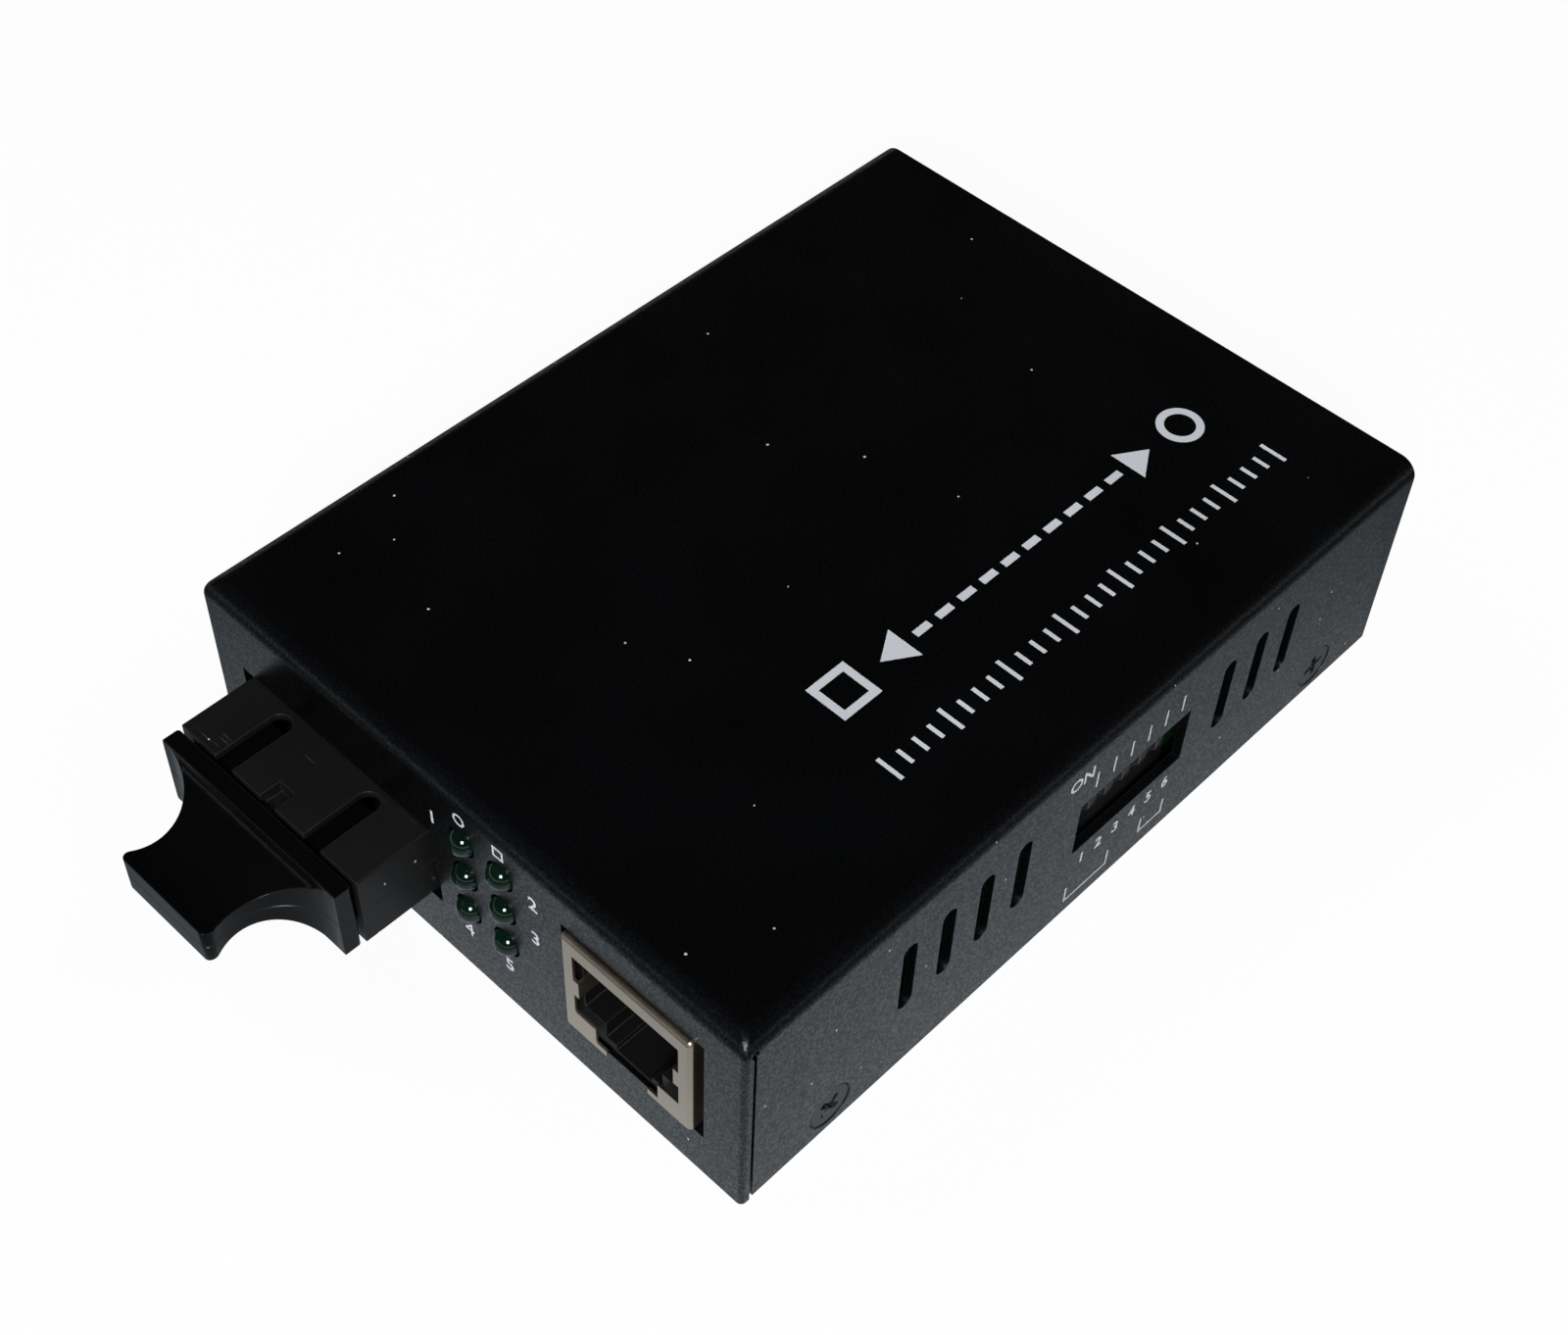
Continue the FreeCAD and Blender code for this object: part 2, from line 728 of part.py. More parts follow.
# ---- RJ45 jack --------------------------------------------------------------------------
def jack_mouth(inset, foot, start, length):
    """The window's outline with its stepped latch opening down to foot, pushed along Y."""
    low = deck + window_low + inset
    high = deck + window_low + window_height - inset
    wide, step, slim = (w / 2 - inset for w in (window_width, step_width, latch_width))
    ledge = deck + window_low - step_drop + inset
    half = [(wide, high), (wide, low), (step, low), (step, ledge), (slim, ledge), (slim, foot)]
    outline = half + [(-x, z) for x, z in reversed(half)]
    return prism([(jack_x + x, start, z) for x, z in outline], ALONG, length)


def jack_leg_holes():
    """(x, y, width, depth) of the shield's two legs in the board."""
    x_off = (jack_width - jack_sheet) / 2
    y = jack_face + jack_depth / 2
    return [(jack_x + s * x_off, y, jack_sheet, leg_width) for s in (-1, 1)]


def wire_places():
    """(x, y) of the contact wires in the board, in two rows."""
    rear = jack_back - jack_sheet - wire_side * 2
    return [(jack_x + (i - (wire_count - 1) / 2) * wire_pitch, rear - (i % 2) * wire_row_gap)
            for i in range(wire_count)]


def make_jack_shield():
    """Folded shield, open below, with the stepped window, grounding tabs and legs."""
    outer = box(span(jack_x, jack_width), (jack_face, jack_back), (deck, jack_top))
    edges = edges_at(outer, z=jack_top, y=jack_face)
    for x in span(jack_x, jack_width):
        edges += edges_at(outer, x=x, z=jack_top) + edges_at(outer, x=x, y=jack_face)
    outer = outer.makeFillet(jack_bend, edges)
    inner = box(span(jack_x, jack_width - 2 * jack_sheet),
                (jack_face + jack_sheet, jack_back - jack_sheet), (deck - sheet, jack_top - jack_sheet))
    groove = box(span(jack_x, jack_width), (jack_face - lip_groove, jack_face + lip_groove),
                 span(jack_top - lip_line, lip_groove))
    shell = outer.cut([inner, jack_mouth(0, deck - sheet, jack_face - sheet, sheet + 2 * jack_sheet), groove])
    pieces = [shell]
    level = deck + window_low + ground_tab_low
    for s in (-1, 1):
        edge = jack_x + s * window_width / 2
        inward = edge - s * (insert_inset + jack_sheet)
        start, thick = jack_face + jack_sheet, jack_sheet
        outline = [(edge + s * jack_sheet, start - thick), (inward, start - thick),
                   (inward, start + ground_tab_length), (inward + s * thick, start + ground_tab_length),
                   (inward + s * thick, start), (edge + s * jack_sheet, start)]
        pieces.append(prism([(x, y, level) for x, y in outline], UP, ground_tab_height))
    for x, y, width, depth in jack_leg_holes():
        pieces.append(box(span(x, width), span(y, depth), (pin_end, deck)))
    return join(pieces)


def make_jack_insert():
    """Moulded insert: the plug's cavity, the latch channel and the wires' channels."""
    start = jack_face + insert_set_back
    end = jack_back - jack_sheet
    body = box(span(jack_x, jack_width - 2 * jack_sheet), (start, end), (deck, jack_top - jack_sheet))
    row = wire_count * wire_pitch
    level = deck + wire_level
    mouth = jack_mouth(insert_inset, deck + insert_floor, start - sheet, insert_depth + sheet)
    rear_pocket = box(span(jack_x, row), (start + insert_depth + 2 * jack_sheet, end + sheet),
                      (deck - sheet, level + wire_side / 2))
    channel = box(span(jack_x, row), (jack_face + wire_front, end),
                  span(level, wire_side))
    drop = box(span(jack_x, row), (jack_face + wire_front, jack_face + wire_tip_back),
               (level - wire_level + window_low + window_height - insert_inset - tiny, level))
    return body.cut([mouth, rear_pocket, channel, drop])


def make_jack_contacts():
    """Eight gold wires: up from the board, forward over the cavity and sloping back into it."""
    wires = []
    level = deck + wire_level
    turn = jack_face + wire_front
    thick = wire_side
    drop = level - deck - wire_tip_level
    run = wire_tip_back - wire_front
    lean = thick * math.hypot(run, drop) / run
    for x, y in wire_places():
        left = x - thick / 2
        leg = box((left, left + thick), span(y, thick), (pin_end, level + thick / 2))
        top = box((left, left + thick), (turn, y), span(level, thick))
        finger = prism([(left, turn, level + thick / 2), (left, turn, level + thick / 2 - lean),
                        (left, turn + run, level - drop), (left, turn + run, level - drop + lean)],
                       ACROSS, thick)
        wires.append(join([leg, top, finger]))
    return wires


# ---- lamps ------------------------------------------------------------------------------
def make_lamp_holder():
    """Block that holds the lamps in line with the case's holes, open at both sides behind its web."""
    reach = (lamp_columns - 1) * lamp_pitch / 2 + holder_margin
    top = deck + lamp_first + (lamp_rows - 1) * lamp_pitch + holder_top_margin
    body = box(span(lamp_x, 2 * reach), (holder_front, holder_back), (deck, top))
    first = lamp_x - (lamp_columns - 1) * lamp_pitch / 2
    pocket = []
    for i in range(lamp_columns):
        pocket.append(box(span(first + i * lamp_pitch, 2 * lamp_rim_radius),
                          (rim_front, holder_back + sheet), (deck - sheet, top - holder_roof)))
    holes = [rod(lamp_radius, (x, holder_front - sheet, z), (x, rim_front, z))
             for x, z in lamp_places()]
    return body.cut(pocket + holes)


def make_lamp(x, z):
    """A domed lens with the rim that seats it in the holder."""
    dome = V(x, lamp_tip, z)
    shoulder = V(x + lamp_radius, lamp_tip + lamp_radius, z)
    bow = lamp_radius * math.sqrt(0.5)
    crown = V(x + bow, lamp_tip + lamp_radius - bow, z)
    corners = [shoulder, V(x + lamp_radius, rim_front, z), V(x + lamp_rim_radius, rim_front, z),
               V(x + lamp_rim_radius, rim_back, z), V(x, rim_back, z), dome]
    sides = [Part.LineSegment(a, b).toShape() for a, b in zip(corners, corners[1:])]
    wire = Part.Wire([Part.Arc(dome, crown, shoulder).toShape()] + sides)
    return Part.Face(wire).revolve(V(x, 0, z), ALONG, 360)


def lead_places():
    """(x, y, z) where each lamp lead turns down behind the holder."""
    places = []
    for n, (x, z) in enumerate(lamp_places()):
        y = holder_back + lead_back + (n // lamp_columns) * lead_step
        places += [(x + s * lead_spread / 2, y, z) for s in (-1, 1)]
    return places


def make_lamp_leads():
    """Bent leads from the lamps down through the board."""
    leads = []
    half = pin_side / 2
    for x, y, z in lead_places():
        outline = [(rim_back, z - half), (y - half, z - half), (y - half, pin_end),
                   (y + half, pin_end), (y + half, z + half), (rim_back, z + half)]
        leads.append(prism([(x - half, py, pz) for py, pz in outline], ACROSS, pin_side))
    return leads


# ---- slide switch -----------------------------------------------------------------------
def way_places():
    """Y of the switch's six ways."""
    return [switch_y + (i - (switch_ways - 1) / 2) * switch_pitch for i in range(switch_ways)]


def switch_pin_places():
    """(x, y) of the switch's pins, two to each way."""
    outer = board_side - switch_pin_inset
    return [(outer - row * switch_rows_gap, y) for row in (0, 1) for y in way_places()]


def make_switch_body():
    """Upright switch housing with one guide slot for each slider."""
    length = switch_ways * switch_pitch + 2 * switch_margin
    body = box((switch_back, switch_face), span(switch_y, length), (deck, deck + switch_height))
    cuts = []
    for y in way_places():
        cuts.append(box((switch_face - slider_depth - slider_clear, switch_face + sheet),
                        span(y, slider_width + 2 * slider_clear),
                        span(slider_middle, slider_height + slider_travel + 2 * slider_clear)))
    return body.cut(cuts)


def make_slider(y):
    """One slider with the bevelled ridge that a fingertip or pen pushes."""
    low = slider_rest - slider_height / 2
    high = slider_rest + slider_height / 2
    nose = switch_face + slider_proud
    outline = [(switch_face - slider_depth, low), (nose - slider_bevel, low),
               (nose, low + slider_bevel), (nose, high - slider_bevel),
               (nose - slider_bevel, high), (switch_face - slider_depth, high)]
    return prism([(x, y - slider_width / 2, z) for x, z in outline], ALONG, slider_width)


def make_switch_pins():
    """Two rows of pins under the switch."""
    return [box(span(x, pin_side), span(y, pin_side), (pin_end, deck)) for x, y in switch_pin_places()]


# ---- power jack -------------------------------------------------------------------------
def inlet_tab_holes():
    """(x, y, width, depth) of the power jack's two solder tabs."""
    return [(inlet_x, inlet_end + inlet_tab / 2, inlet_tab_width, inlet_tab),
            (inlet_x, inlet_face - inlet_flange - inlet_tab / 2, spring_width, inlet_tab)]


def make_inlet_body():
    """Housing with a square flange, a round-backed barrel and the plug's bore."""
    flange = box(span(inlet_x, inlet_width), (inlet_face - inlet_flange, inlet_face),
                 (deck, deck + inlet_height))
    half = inlet_width / 2
    top = inlet_z + half
    wire = Part.Wire([
        Part.LineSegment(V(inlet_x - half, inlet_end, deck), V(inlet_x + half, inlet_end, deck)).toShape(),
        Part.LineSegment(V(inlet_x + half, inlet_end, deck), V(inlet_x + half, inlet_end, inlet_z)).toShape(),
        Part.Arc(V(inlet_x + half, inlet_end, inlet_z), V(inlet_x, inlet_end, top),
                 V(inlet_x - half, inlet_end, inlet_z)).toShape(),
        Part.LineSegment(V(inlet_x - half, inlet_end, inlet_z), V(inlet_x - half, inlet_end, deck)).toShape(),
    ])
    barrel = Part.Face(wire).extrude(ALONG * (inlet_depth - inlet_flange / 2))
    cuts = [rod(inlet_bore, (inlet_x, inlet_floor, inlet_z), (inlet_x, inlet_face + sheet, inlet_z)),
            rod(inlet_pin_root, (inlet_x, inlet_end - sheet, inlet_z), (inlet_x, inlet_face, inlet_z)),
            box(span(inlet_x, inlet_tab_width), (inlet_end - sheet, inlet_end + inlet_tab),
                (deck - sheet, inlet_z + inlet_pin)),
            box(span(inlet_x, spring_width), spring_reach(), (deck - sheet, inlet_z - inlet_pin))]
    return join([flange, barrel]).cut(cuts)


def spring_reach():
    """Y range of the sleeve spring in the floor of the power jack."""
    end = inlet_face - inlet_flange
    return (end - spring_length, end)


def make_inlet_pin():
    """Centre pin with the tab that runs down its rear face to the board."""
    tip = inlet_face - inlet_pin_back
    neck_end = inlet_floor + inlet_neck_length
    profile = [(0, inlet_end), (inlet_pin_root, inlet_end), (inlet_pin_root, inlet_floor),
               (inlet_pin_neck, inlet_floor), (inlet_pin_neck, neck_end), (inlet_pin, neck_end),
               (inlet_pin, tip - inlet_pin_taper), (inlet_pin - inlet_pin_taper, tip), (0, tip)]
    corners = [V(inlet_x + r, y, inlet_z) for r, y in profile]
    face = Part.Face(Part.makePolygon(corners + corners[:1]))
    pin = face.revolve(V(inlet_x, 0, inlet_z), ALONG, 360)
    tab = box(span(inlet_x, inlet_tab_width), (inlet_end, inlet_end + inlet_tab),
              (pin_end, inlet_z + inlet_pin))
    return join([pin, tab])


def make_inlet_spring():
    """Leaf spring that presses on the plug's sleeve, with its tab through the board."""
    start, end = spring_reach()
    floor = inlet_z - inlet_bore
    thick = inlet_tab
    outline = [(end, pin_end), (end, floor), (start + thick, floor + spring_rise), (start, floor),
               (start, floor - thick), (start + thick, floor + spring_rise - thick),
               (end - thick, floor - thick), (end - thick, pin_end)]
    left = inlet_x - spring_width / 2
    return prism([(left, y, z) for y, z in outline], ACROSS, spring_width)


# ---- board parts ------------------------------------------------------------------------
def gull_leads(x, y, length, count, pitch, along):
    """Flat feet on two opposite sides of a package, resting on the board."""
    feet = []
    for s in (-1, 1):
        for i in range(count):
            off = (i - (count - 1) / 2) * pitch
            out = s * (length / 2 + foot_reach / 2)
            px, py = (x + off, y + out) if along else (x + out, y + off)
            size = (pitch / 2, foot_reach) if along else (foot_reach, pitch / 2)
            feet.append(box(span(px, size[0]), span(py, size[1]), (deck, deck + foot_thickness)))
    return feet


def make_converter():
    """The converter chip's package, with its corner mark."""
    x, y = converter_place[0], front + converter_place[1]
    top = deck + converter_height
    body = box(span(x, converter_size), span(y, converter_size), (deck, top))
    body = body.makeChamfer(package_bevel, edges_at(body, z=top))
    inset = converter_size / 2 - mark_inset
    mark = rod(mark_radius, (x - inset, y - inset, top - mark_depth),
               (x - inset, y - inset, top + sheet))
    return body.cut(mark)


def make_converter_leads():
    """Leads on the four sides of the converter chip."""
    x, y = converter_place[0], front + converter_place[1]
    both = [gull_leads(x, y, converter_size, converter_lead_count, converter_pitch, along)
            for along in (False, True)]
    return both[0] + both[1]


def transformer_centre():
    """(x, y) of the isolation transformer behind the RJ45 jack."""
    return jack_x - standoff_width / 2, jack_back + transformer_behind


def make_transformer():
    """The isolation transformer's moulded package."""
    x, y = transformer_centre()
    top = deck + transformer_height
    body = box(span(x, transformer_length), span(y, transformer_width), (deck, top))
    return body.makeChamfer(package_bevel, edges_at(body, z=top))


def make_transformer_leads():
    """Its leads on both long sides."""
    x, y = transformer_centre()
    return gull_leads(x, y, transformer_width, transformer_lead_count, transformer_pitch, True)


def make_crystal():
    """Low metal can with round ends."""
    x, y = crystal_place[0], front + crystal_place[1]
    radius = crystal_width / 2
    reach = crystal_length / 2 - radius
    can = rounded_slot((x - reach, y, deck), (x + reach, y, deck), radius, UP, crystal_height)
    top = deck + crystal_height
    return can.makeChamfer(package_bevel, edges_at(can, z=top))


def make_regulator():
    """Voltage regulator: a small package with its heat tab and three legs."""
    x, y = regulator_place[0], front + regulator_place[1]
    top = deck + regulator_height
    body = box(span(x, regulator_length), span(y, regulator_width), (deck, top))
    return body.makeChamfer(package_bevel, edges_at(body, z=top))


def make_regulator_leads():
    """The regulator's three legs and its heat tab."""
    x, y = regulator_place[0], front + regulator_place[1]
    half = regulator_width / 2
    legs = [box(span(x + i * regulator_leg_step, foot_reach), (y - half - foot_reach, y - half),
                (deck, deck + foot_thickness)) for i in (-1, 0, 1)]
    tab = box(span(x, regulator_tab_width), (y + half, y + half + foot_reach),
              (deck, deck + foot_thickness))
    return legs + [tab]


def cap_places():
    """(x, y) of the electrolytic capacitors beside the power jack."""
    y = board_rear - cap_from_rear
    return [(inlet_x + s * cap_side, y) for s in (-1, 1)]


def cap_lead_places():
    """(x, y) of the capacitors' leads."""
    return [(x + s * cap_lead_gap / 2, y) for x, y in cap_places() for s in (-1, 1)]


def make_capacitors():
    """Aluminium cans with the crimped groove near the foot."""
    profile = [(0, 0), (cap_radius, 0), (cap_radius, cap_groove_height - cap_groove),
               (cap_radius - cap_groove, cap_groove_height),
               (cap_radius, cap_groove_height + cap_groove), (cap_radius, cap_height),
               (0, cap_height)]
    cans = []
    for x, y in cap_places():
        corners = [V(x + r, y, deck + z) for r, z in profile]
        face = Part.Face(Part.makePolygon(corners + corners[:1]))
        cans.append(face.revolve(V(x, y, 0), UP, 360))
    return cans


def make_capacitor_leads():
    """Two leads under each capacitor."""
    return [box(span(x, pin_side), span(y, pin_side), (pin_end, deck)) for x, y in cap_lead_places()]


def make_small_chips():
    """Rows of small resistors and capacitors beside the converter chip."""
    x0, y0 = -board_side + chip_from_left, front + chip_from_front
    return [box(span(x0 + column * chip_column_step, chip_width),
                span(y0 + row * chip_row_step, chip_length), (deck, deck + chip_height))
            for row in range(chip_rows) for column in range(chip_columns)]


# ---- the pieces, one file each ----------------------------------------------------------
pieces = {
    "top_cover": make_cover(),
    "base_tray": make_tray(),
    "case_screws": make_case_screws(),
    "main_board": make_board(),
    "board_standoffs": make_standoffs(),
    "board_screws": make_board_screws(),
    "receptacle_upper_shell": make_upper_shell(),
    "receptacle_lower_shell": make_lower_shell(),
    "receptacle_latches": make_latches(),
    "ferrule_sleeves": make_sleeves(),
    "optical_cans": make_optical_cans(),
    "transceiver_board": make_module_board(),
    "transceiver_chips": make_module_chips(),
    "transceiver_pins": make_module_pins(),
    "dust_plug": make_dust_plug(),
    "rj45_shield": make_jack_shield(),
    "rj45_insert": make_jack_insert(),
    "rj45_contacts": make_jack_contacts(),
    "lamp_holder": make_lamp_holder(),
    "lamp_leads": make_lamp_leads(),
    "switch_body": make_switch_body(),
    "switch_pins": make_switch_pins(),
    "power_jack_body": make_inlet_body(),
    "power_jack_pin": make_inlet_pin(),
    "power_jack_spring": make_inlet_spring(),
    "converter_chip": make_converter(),
    "converter_chip_leads": make_converter_leads(),
    "isolation_transformer": make_transformer(),
    "transformer_leads": make_transformer_leads(),
    "crystal_can": make_crystal(),
    "voltage_regulator": make_regulator(),
    "regulator_leads": make_regulator_leads(),
    "electrolytic_capacitors": make_capacitors(),
    "capacitor_leads": make_capacitor_leads(),
    "small_chips": make_small_chips(),
}
for number, (lamp_at_x, lamp_at_z) in enumerate(lamp_places(), start=1):
    pieces[f"lamp_{number}"] = make_lamp(lamp_at_x, lamp_at_z)
for number, way_y in enumerate(way_places(), start=1):
    pieces[f"switch_slider_{number}"] = make_slider(way_y)

os.makedirs("parts", exist_ok=True)
for name, shape in pieces.items():
    solid = Part.makeCompound(shape) if isinstance(shape, list) else shape
    solid.exportStep(f"parts/{name}.step")
    print(f"{name:26s} solids {len(solid.Solids):3d}  volume {solid.Volume:10.2f}  valid {solid.isValid()}")
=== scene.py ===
# %% [markdown]
# # Dressing a fibre media converter
# The object is a palm-sized black steel box that joins a copper network cable to a pair of
# optical fibres. Its sizes are settled already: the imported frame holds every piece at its
# real place. This lesson gives each piece its finish, softens the edges that catch light,
# and adds the small things that repeat, such as screws and printed marks.

import json
import math

import bmesh
import bpy
from mathutils import Matrix, Vector


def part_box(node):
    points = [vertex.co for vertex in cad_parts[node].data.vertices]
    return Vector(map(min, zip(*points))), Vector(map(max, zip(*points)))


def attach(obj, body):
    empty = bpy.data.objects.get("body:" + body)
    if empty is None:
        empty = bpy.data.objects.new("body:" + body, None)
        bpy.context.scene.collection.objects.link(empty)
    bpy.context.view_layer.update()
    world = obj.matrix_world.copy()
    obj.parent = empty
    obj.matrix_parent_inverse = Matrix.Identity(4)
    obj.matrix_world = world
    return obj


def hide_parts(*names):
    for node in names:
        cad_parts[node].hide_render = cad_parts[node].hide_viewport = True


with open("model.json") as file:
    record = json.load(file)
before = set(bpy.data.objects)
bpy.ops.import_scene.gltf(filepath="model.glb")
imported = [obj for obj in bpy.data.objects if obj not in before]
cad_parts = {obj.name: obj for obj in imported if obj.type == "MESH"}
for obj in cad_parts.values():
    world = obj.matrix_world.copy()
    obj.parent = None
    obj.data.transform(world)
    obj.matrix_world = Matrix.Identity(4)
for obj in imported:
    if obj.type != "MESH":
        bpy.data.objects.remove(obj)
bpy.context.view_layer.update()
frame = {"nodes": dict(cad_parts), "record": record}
MM = 0.001                     # a millimetre in metres
case_low, case_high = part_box("top_cover")
collection = bpy.context.scene.collection


def add_object(name, data):
    """Puts a camera, a light or a mesh into the scene."""
    made = bpy.data.objects.new(name, data)
    collection.objects.link(made)
    return made


case_width = round((case_high.x - case_low.x) / MM, 2)
print("pieces in the frame:", len(frame["nodes"]), "case width", case_width)

# %% [markdown]
# ## Camera
# A camera is a place and three directions. A matrix made from its right, up and backward
# directions sets all of them at once, which is more exact than turning it by angles.

# %% Set the camera
camera_data = bpy.data.cameras.new("camera")
camera_data.lens = 53.783
camera_data.sensor_width = 36.0
camera_data.clip_start = 0.01
camera = add_object("camera", camera_data)
look_right = Vector((0.718273, 0.695143, 0.029338))
look_down = Vector((0.543894, -0.534696, -0.646745))
look_ahead = Vector((-0.433893, 0.480496, -0.762142))
turned = Matrix((look_right, -look_down, -look_ahead)).transposed().to_4x4()
camera.matrix_world = Matrix.Translation((0.10136, -0.11754, 0.18664)) @ turned
bpy.context.scene.camera = camera
bpy.context.scene.view_settings.view_transform = "Standard"
print("camera", round(camera.location.length, 3), "m from the origin")

# %% [markdown]
# ## Nodes in few words
# Every material here is a small network. A few helpers keep the networks short: they place
# a node and fill its sockets, do arithmetic, turn one range of values into another, mix two
# colours, and start a group with named inputs and outputs.

# %% Helpers for node networks
def fill(tree, sockets, values):
    """Links a value that is itself a socket, and copies any other value into its socket."""
    for socket, value in values.items():
        if isinstance(value, bpy.types.NodeSocket):
            tree.links.new(value, sockets[socket])
        else:
            sockets[socket].default_value = value


def put(tree, kind, values=None, **settings):
    """Adds a node, sets its options and fills the sockets named in values."""
    made = tree.nodes.new(kind)
    for name, value in settings.items():
        setattr(made, name, value)
    fill(tree, made.inputs, values or {})
    return made


def calculate(tree, way, *values):
    """Arithmetic on numbers."""
    return put(tree, "ShaderNodeMath", dict(enumerate(values)), operation=way).outputs[0]


def calculate_vector(tree, way, *values):
    """Arithmetic on vectors; a length, a distance or a dot product comes out as a number."""
    made = put(tree, "ShaderNodeVectorMath", dict(enumerate(values)), operation=way)
    return made.outputs["Value" if way in ("LENGTH", "DISTANCE", "DOT_PRODUCT") else "Vector"]


def ramp(tree, value, start, end, results=(0.0, 1.0), way="LINEAR"):
    """Turns a value between start and end into one between two results, and holds it outside."""
    first, last = results
    made = put(tree, "ShaderNodeMapRange",
               {"Value": value, "From Min": start, "From Max": end,
                "To Min": first, "To Max": last},
               interpolation_type=way)
    return made.outputs["Result"]


def blend_colours(tree, share, first, second):
    """The colour between two colours, by a share from 0 to 1."""
    return put(tree, "ShaderNodeMix", {0: share, 6: first, 7: second}, data_type="RGBA").outputs[2]


def start_group(name, inputs, outputs):
    """A shader group with named sockets, and its two end nodes."""
    group = bpy.data.node_groups.new(name, "ShaderNodeTree")
    for label, kind, value in inputs:
        socket = group.interface.new_socket(label, in_out="INPUT", socket_type="NodeSocket" + kind)
        if value is not None:
            socket.default_value = value
    for label, kind in outputs:
        group.interface.new_socket(label, in_out="OUTPUT", socket_type="NodeSocket" + kind)
    given = group.nodes.new("NodeGroupInput").outputs
    return group, given, group.nodes.new("NodeGroupOutput").inputs


print("node helpers ready")

# %% [markdown]
# ## Studio
# The box stands on a white sheet in a dim room with three soft lamps. Black satin paint is
# seen mostly by what it mirrors: the upright sides mirror the white sheet and look grey, and
# the lid mirrors the dark ceiling and looks almost black. A ramp over the height of the sky
# makes that room without any extra objects. The camera, and rays that pass through clear
# resin, see a pale backdrop instead. Mirror-like surfaces see the same backdrop too, but only
# as high as it is hung, with the dark ceiling above it. A height in the sky runs from 0 at
# the horizon to 1 straight overhead.

# %% Build the room
ROOM_FADE = (-0.05, 0.35)      # heights in the sky between which the room grows dark
ROOM_LIGHT = (0.05, 0.004)     # its light at those two heights
BACKDROP_FADE = (0.0, 0.22)    # heights in the sky between which mirrors lose the backdrop
WHITE = (1.0, 1.0, 1.0, 1.0)
BOX_MIDDLE = (0, 0, 0.01)      # the place that the lamps point at

world = bpy.data.worlds.new("studio")
world.use_nodes = True
sky = world.node_tree
sky.nodes.clear()
direction = put(sky, "ShaderNodeTexCoord").outputs["Generated"]
height = put(sky, "ShaderNodeSeparateXYZ", {"Vector": direction}).outputs["Z"]
room = ramp(sky, height, *ROOM_FADE, ROOM_LIGHT, way="SMOOTHSTEP")
backdrop = ramp(sky, height, *BACKDROP_FADE, (1.0, 0.0), way="SMOOTHSTEP")
path = put(sky, "ShaderNodeLightPath").outputs
seen = calculate(sky, "MAXIMUM", path["Is Camera Ray"], path["Is Transmission Ray"])
seen = calculate(sky, "MULTIPLY_ADD", path["Is Glossy Ray"], backdrop, seen)
room = calculate(sky, "MAXIMUM", seen, room)
light = put(sky, "ShaderNodeBackground", {"Color": WHITE, "Strength": room})
put(sky, "ShaderNodeOutputWorld", {"Surface": light.outputs[0]})
bpy.context.scene.world = world


def add_softbox(name, place, size, watts, mirrored=True):
    """A square soft light at a place, turned towards the box; it can be kept out of mirrors."""
    data = bpy.data.lights.new(name, "AREA")
    data.energy = watts
    data.size = size
    lamp = add_object(name, data)
    lamp.location = place
    lamp.visible_glossy = mirrored
    towards = Vector(BOX_MIDDLE) - Vector(place)
    lamp.rotation_euler = towards.to_track_quat("-Z", "Y").to_euler()


add_softbox("key_light", (0.55, -0.75, 0.75), 0.36, 13.0)
add_softbox("side_light", (0.75, 0.75, 1.1), 0.8, 5.0, mirrored=False)
add_softbox("left_light", (-0.85, -0.35, 0.95), 0.8, 3.5, mirrored=False)

# %% [markdown]
# ## Table
# The table is one large sheet. Rays from the camera see it as even white that still takes a
# little of the box's shadow. Mirror-like surfaces see a cool white spot by the box's front
# right corner. It fades outwards from its centre and with distance from the box's walls,
# which is why paint looks darker to the rear and where it turns upwards.

# %% Lay the table
TABLE_REACH = 3.0              # half the table's width, in metres
EVEN_WHITE = 0.90              # share of even white that the camera sees; the rest takes shadow
FULL_WHITE = 1.02              # strength at which even white shows as white
SPOT_CENTRE = (0.020, -0.035, 0)
SPOT_REACH = (0.02, 0.185)     # metres from the centre between which the spot fades
SPOT_LIGHT = (0.575, 0.02)     # its light at those two distances
WALL_REACH = (0.0, 0.045)      # metres from the box's walls between which it fades further
WALL_LIGHT = (1.0, 0.32)       # the share of it that is left there
COOL_WHITE = (0.84, 0.93, 1.0, 1.0)
PAPER = (0.84, 0.87)           # darkest and palest paper

table_material = bpy.data.materials.new("white_table")
table_material.use_nodes = True
tree = table_material.node_tree
tree.nodes.clear()
path = put(tree, "ShaderNodeLightPath").outputs
mirrored = calculate(tree, "MAXIMUM", path["Is Glossy Ray"], path["Is Transmission Ray"])
glowing = calculate(tree, "MULTIPLY_ADD", path["Is Camera Ray"], EVEN_WHITE, mirrored)
spot = put(tree, "ShaderNodeTexCoord").outputs["Object"]
away = calculate_vector(tree, "DISTANCE", spot, SPOT_CENTRE)
outside = calculate_vector(tree, "ABSOLUTE", spot)
outside = calculate_vector(tree, "SUBTRACT", outside, (case_high.x, case_high.y, 0.0))
outside = calculate_vector(tree, "MAXIMUM", outside, (0.0, 0.0, 0.0))
outside = calculate_vector(tree, "LENGTH", outside)
patch = calculate(tree, "MULTIPLY", ramp(tree, away, *SPOT_REACH, SPOT_LIGHT),
                  ramp(tree, outside, *WALL_REACH, WALL_LIGHT))
white = calculate(tree, "MULTIPLY_ADD", path["Is Camera Ray"], FULL_WHITE, patch)
white = calculate(tree, "MINIMUM", white, FULL_WHITE)
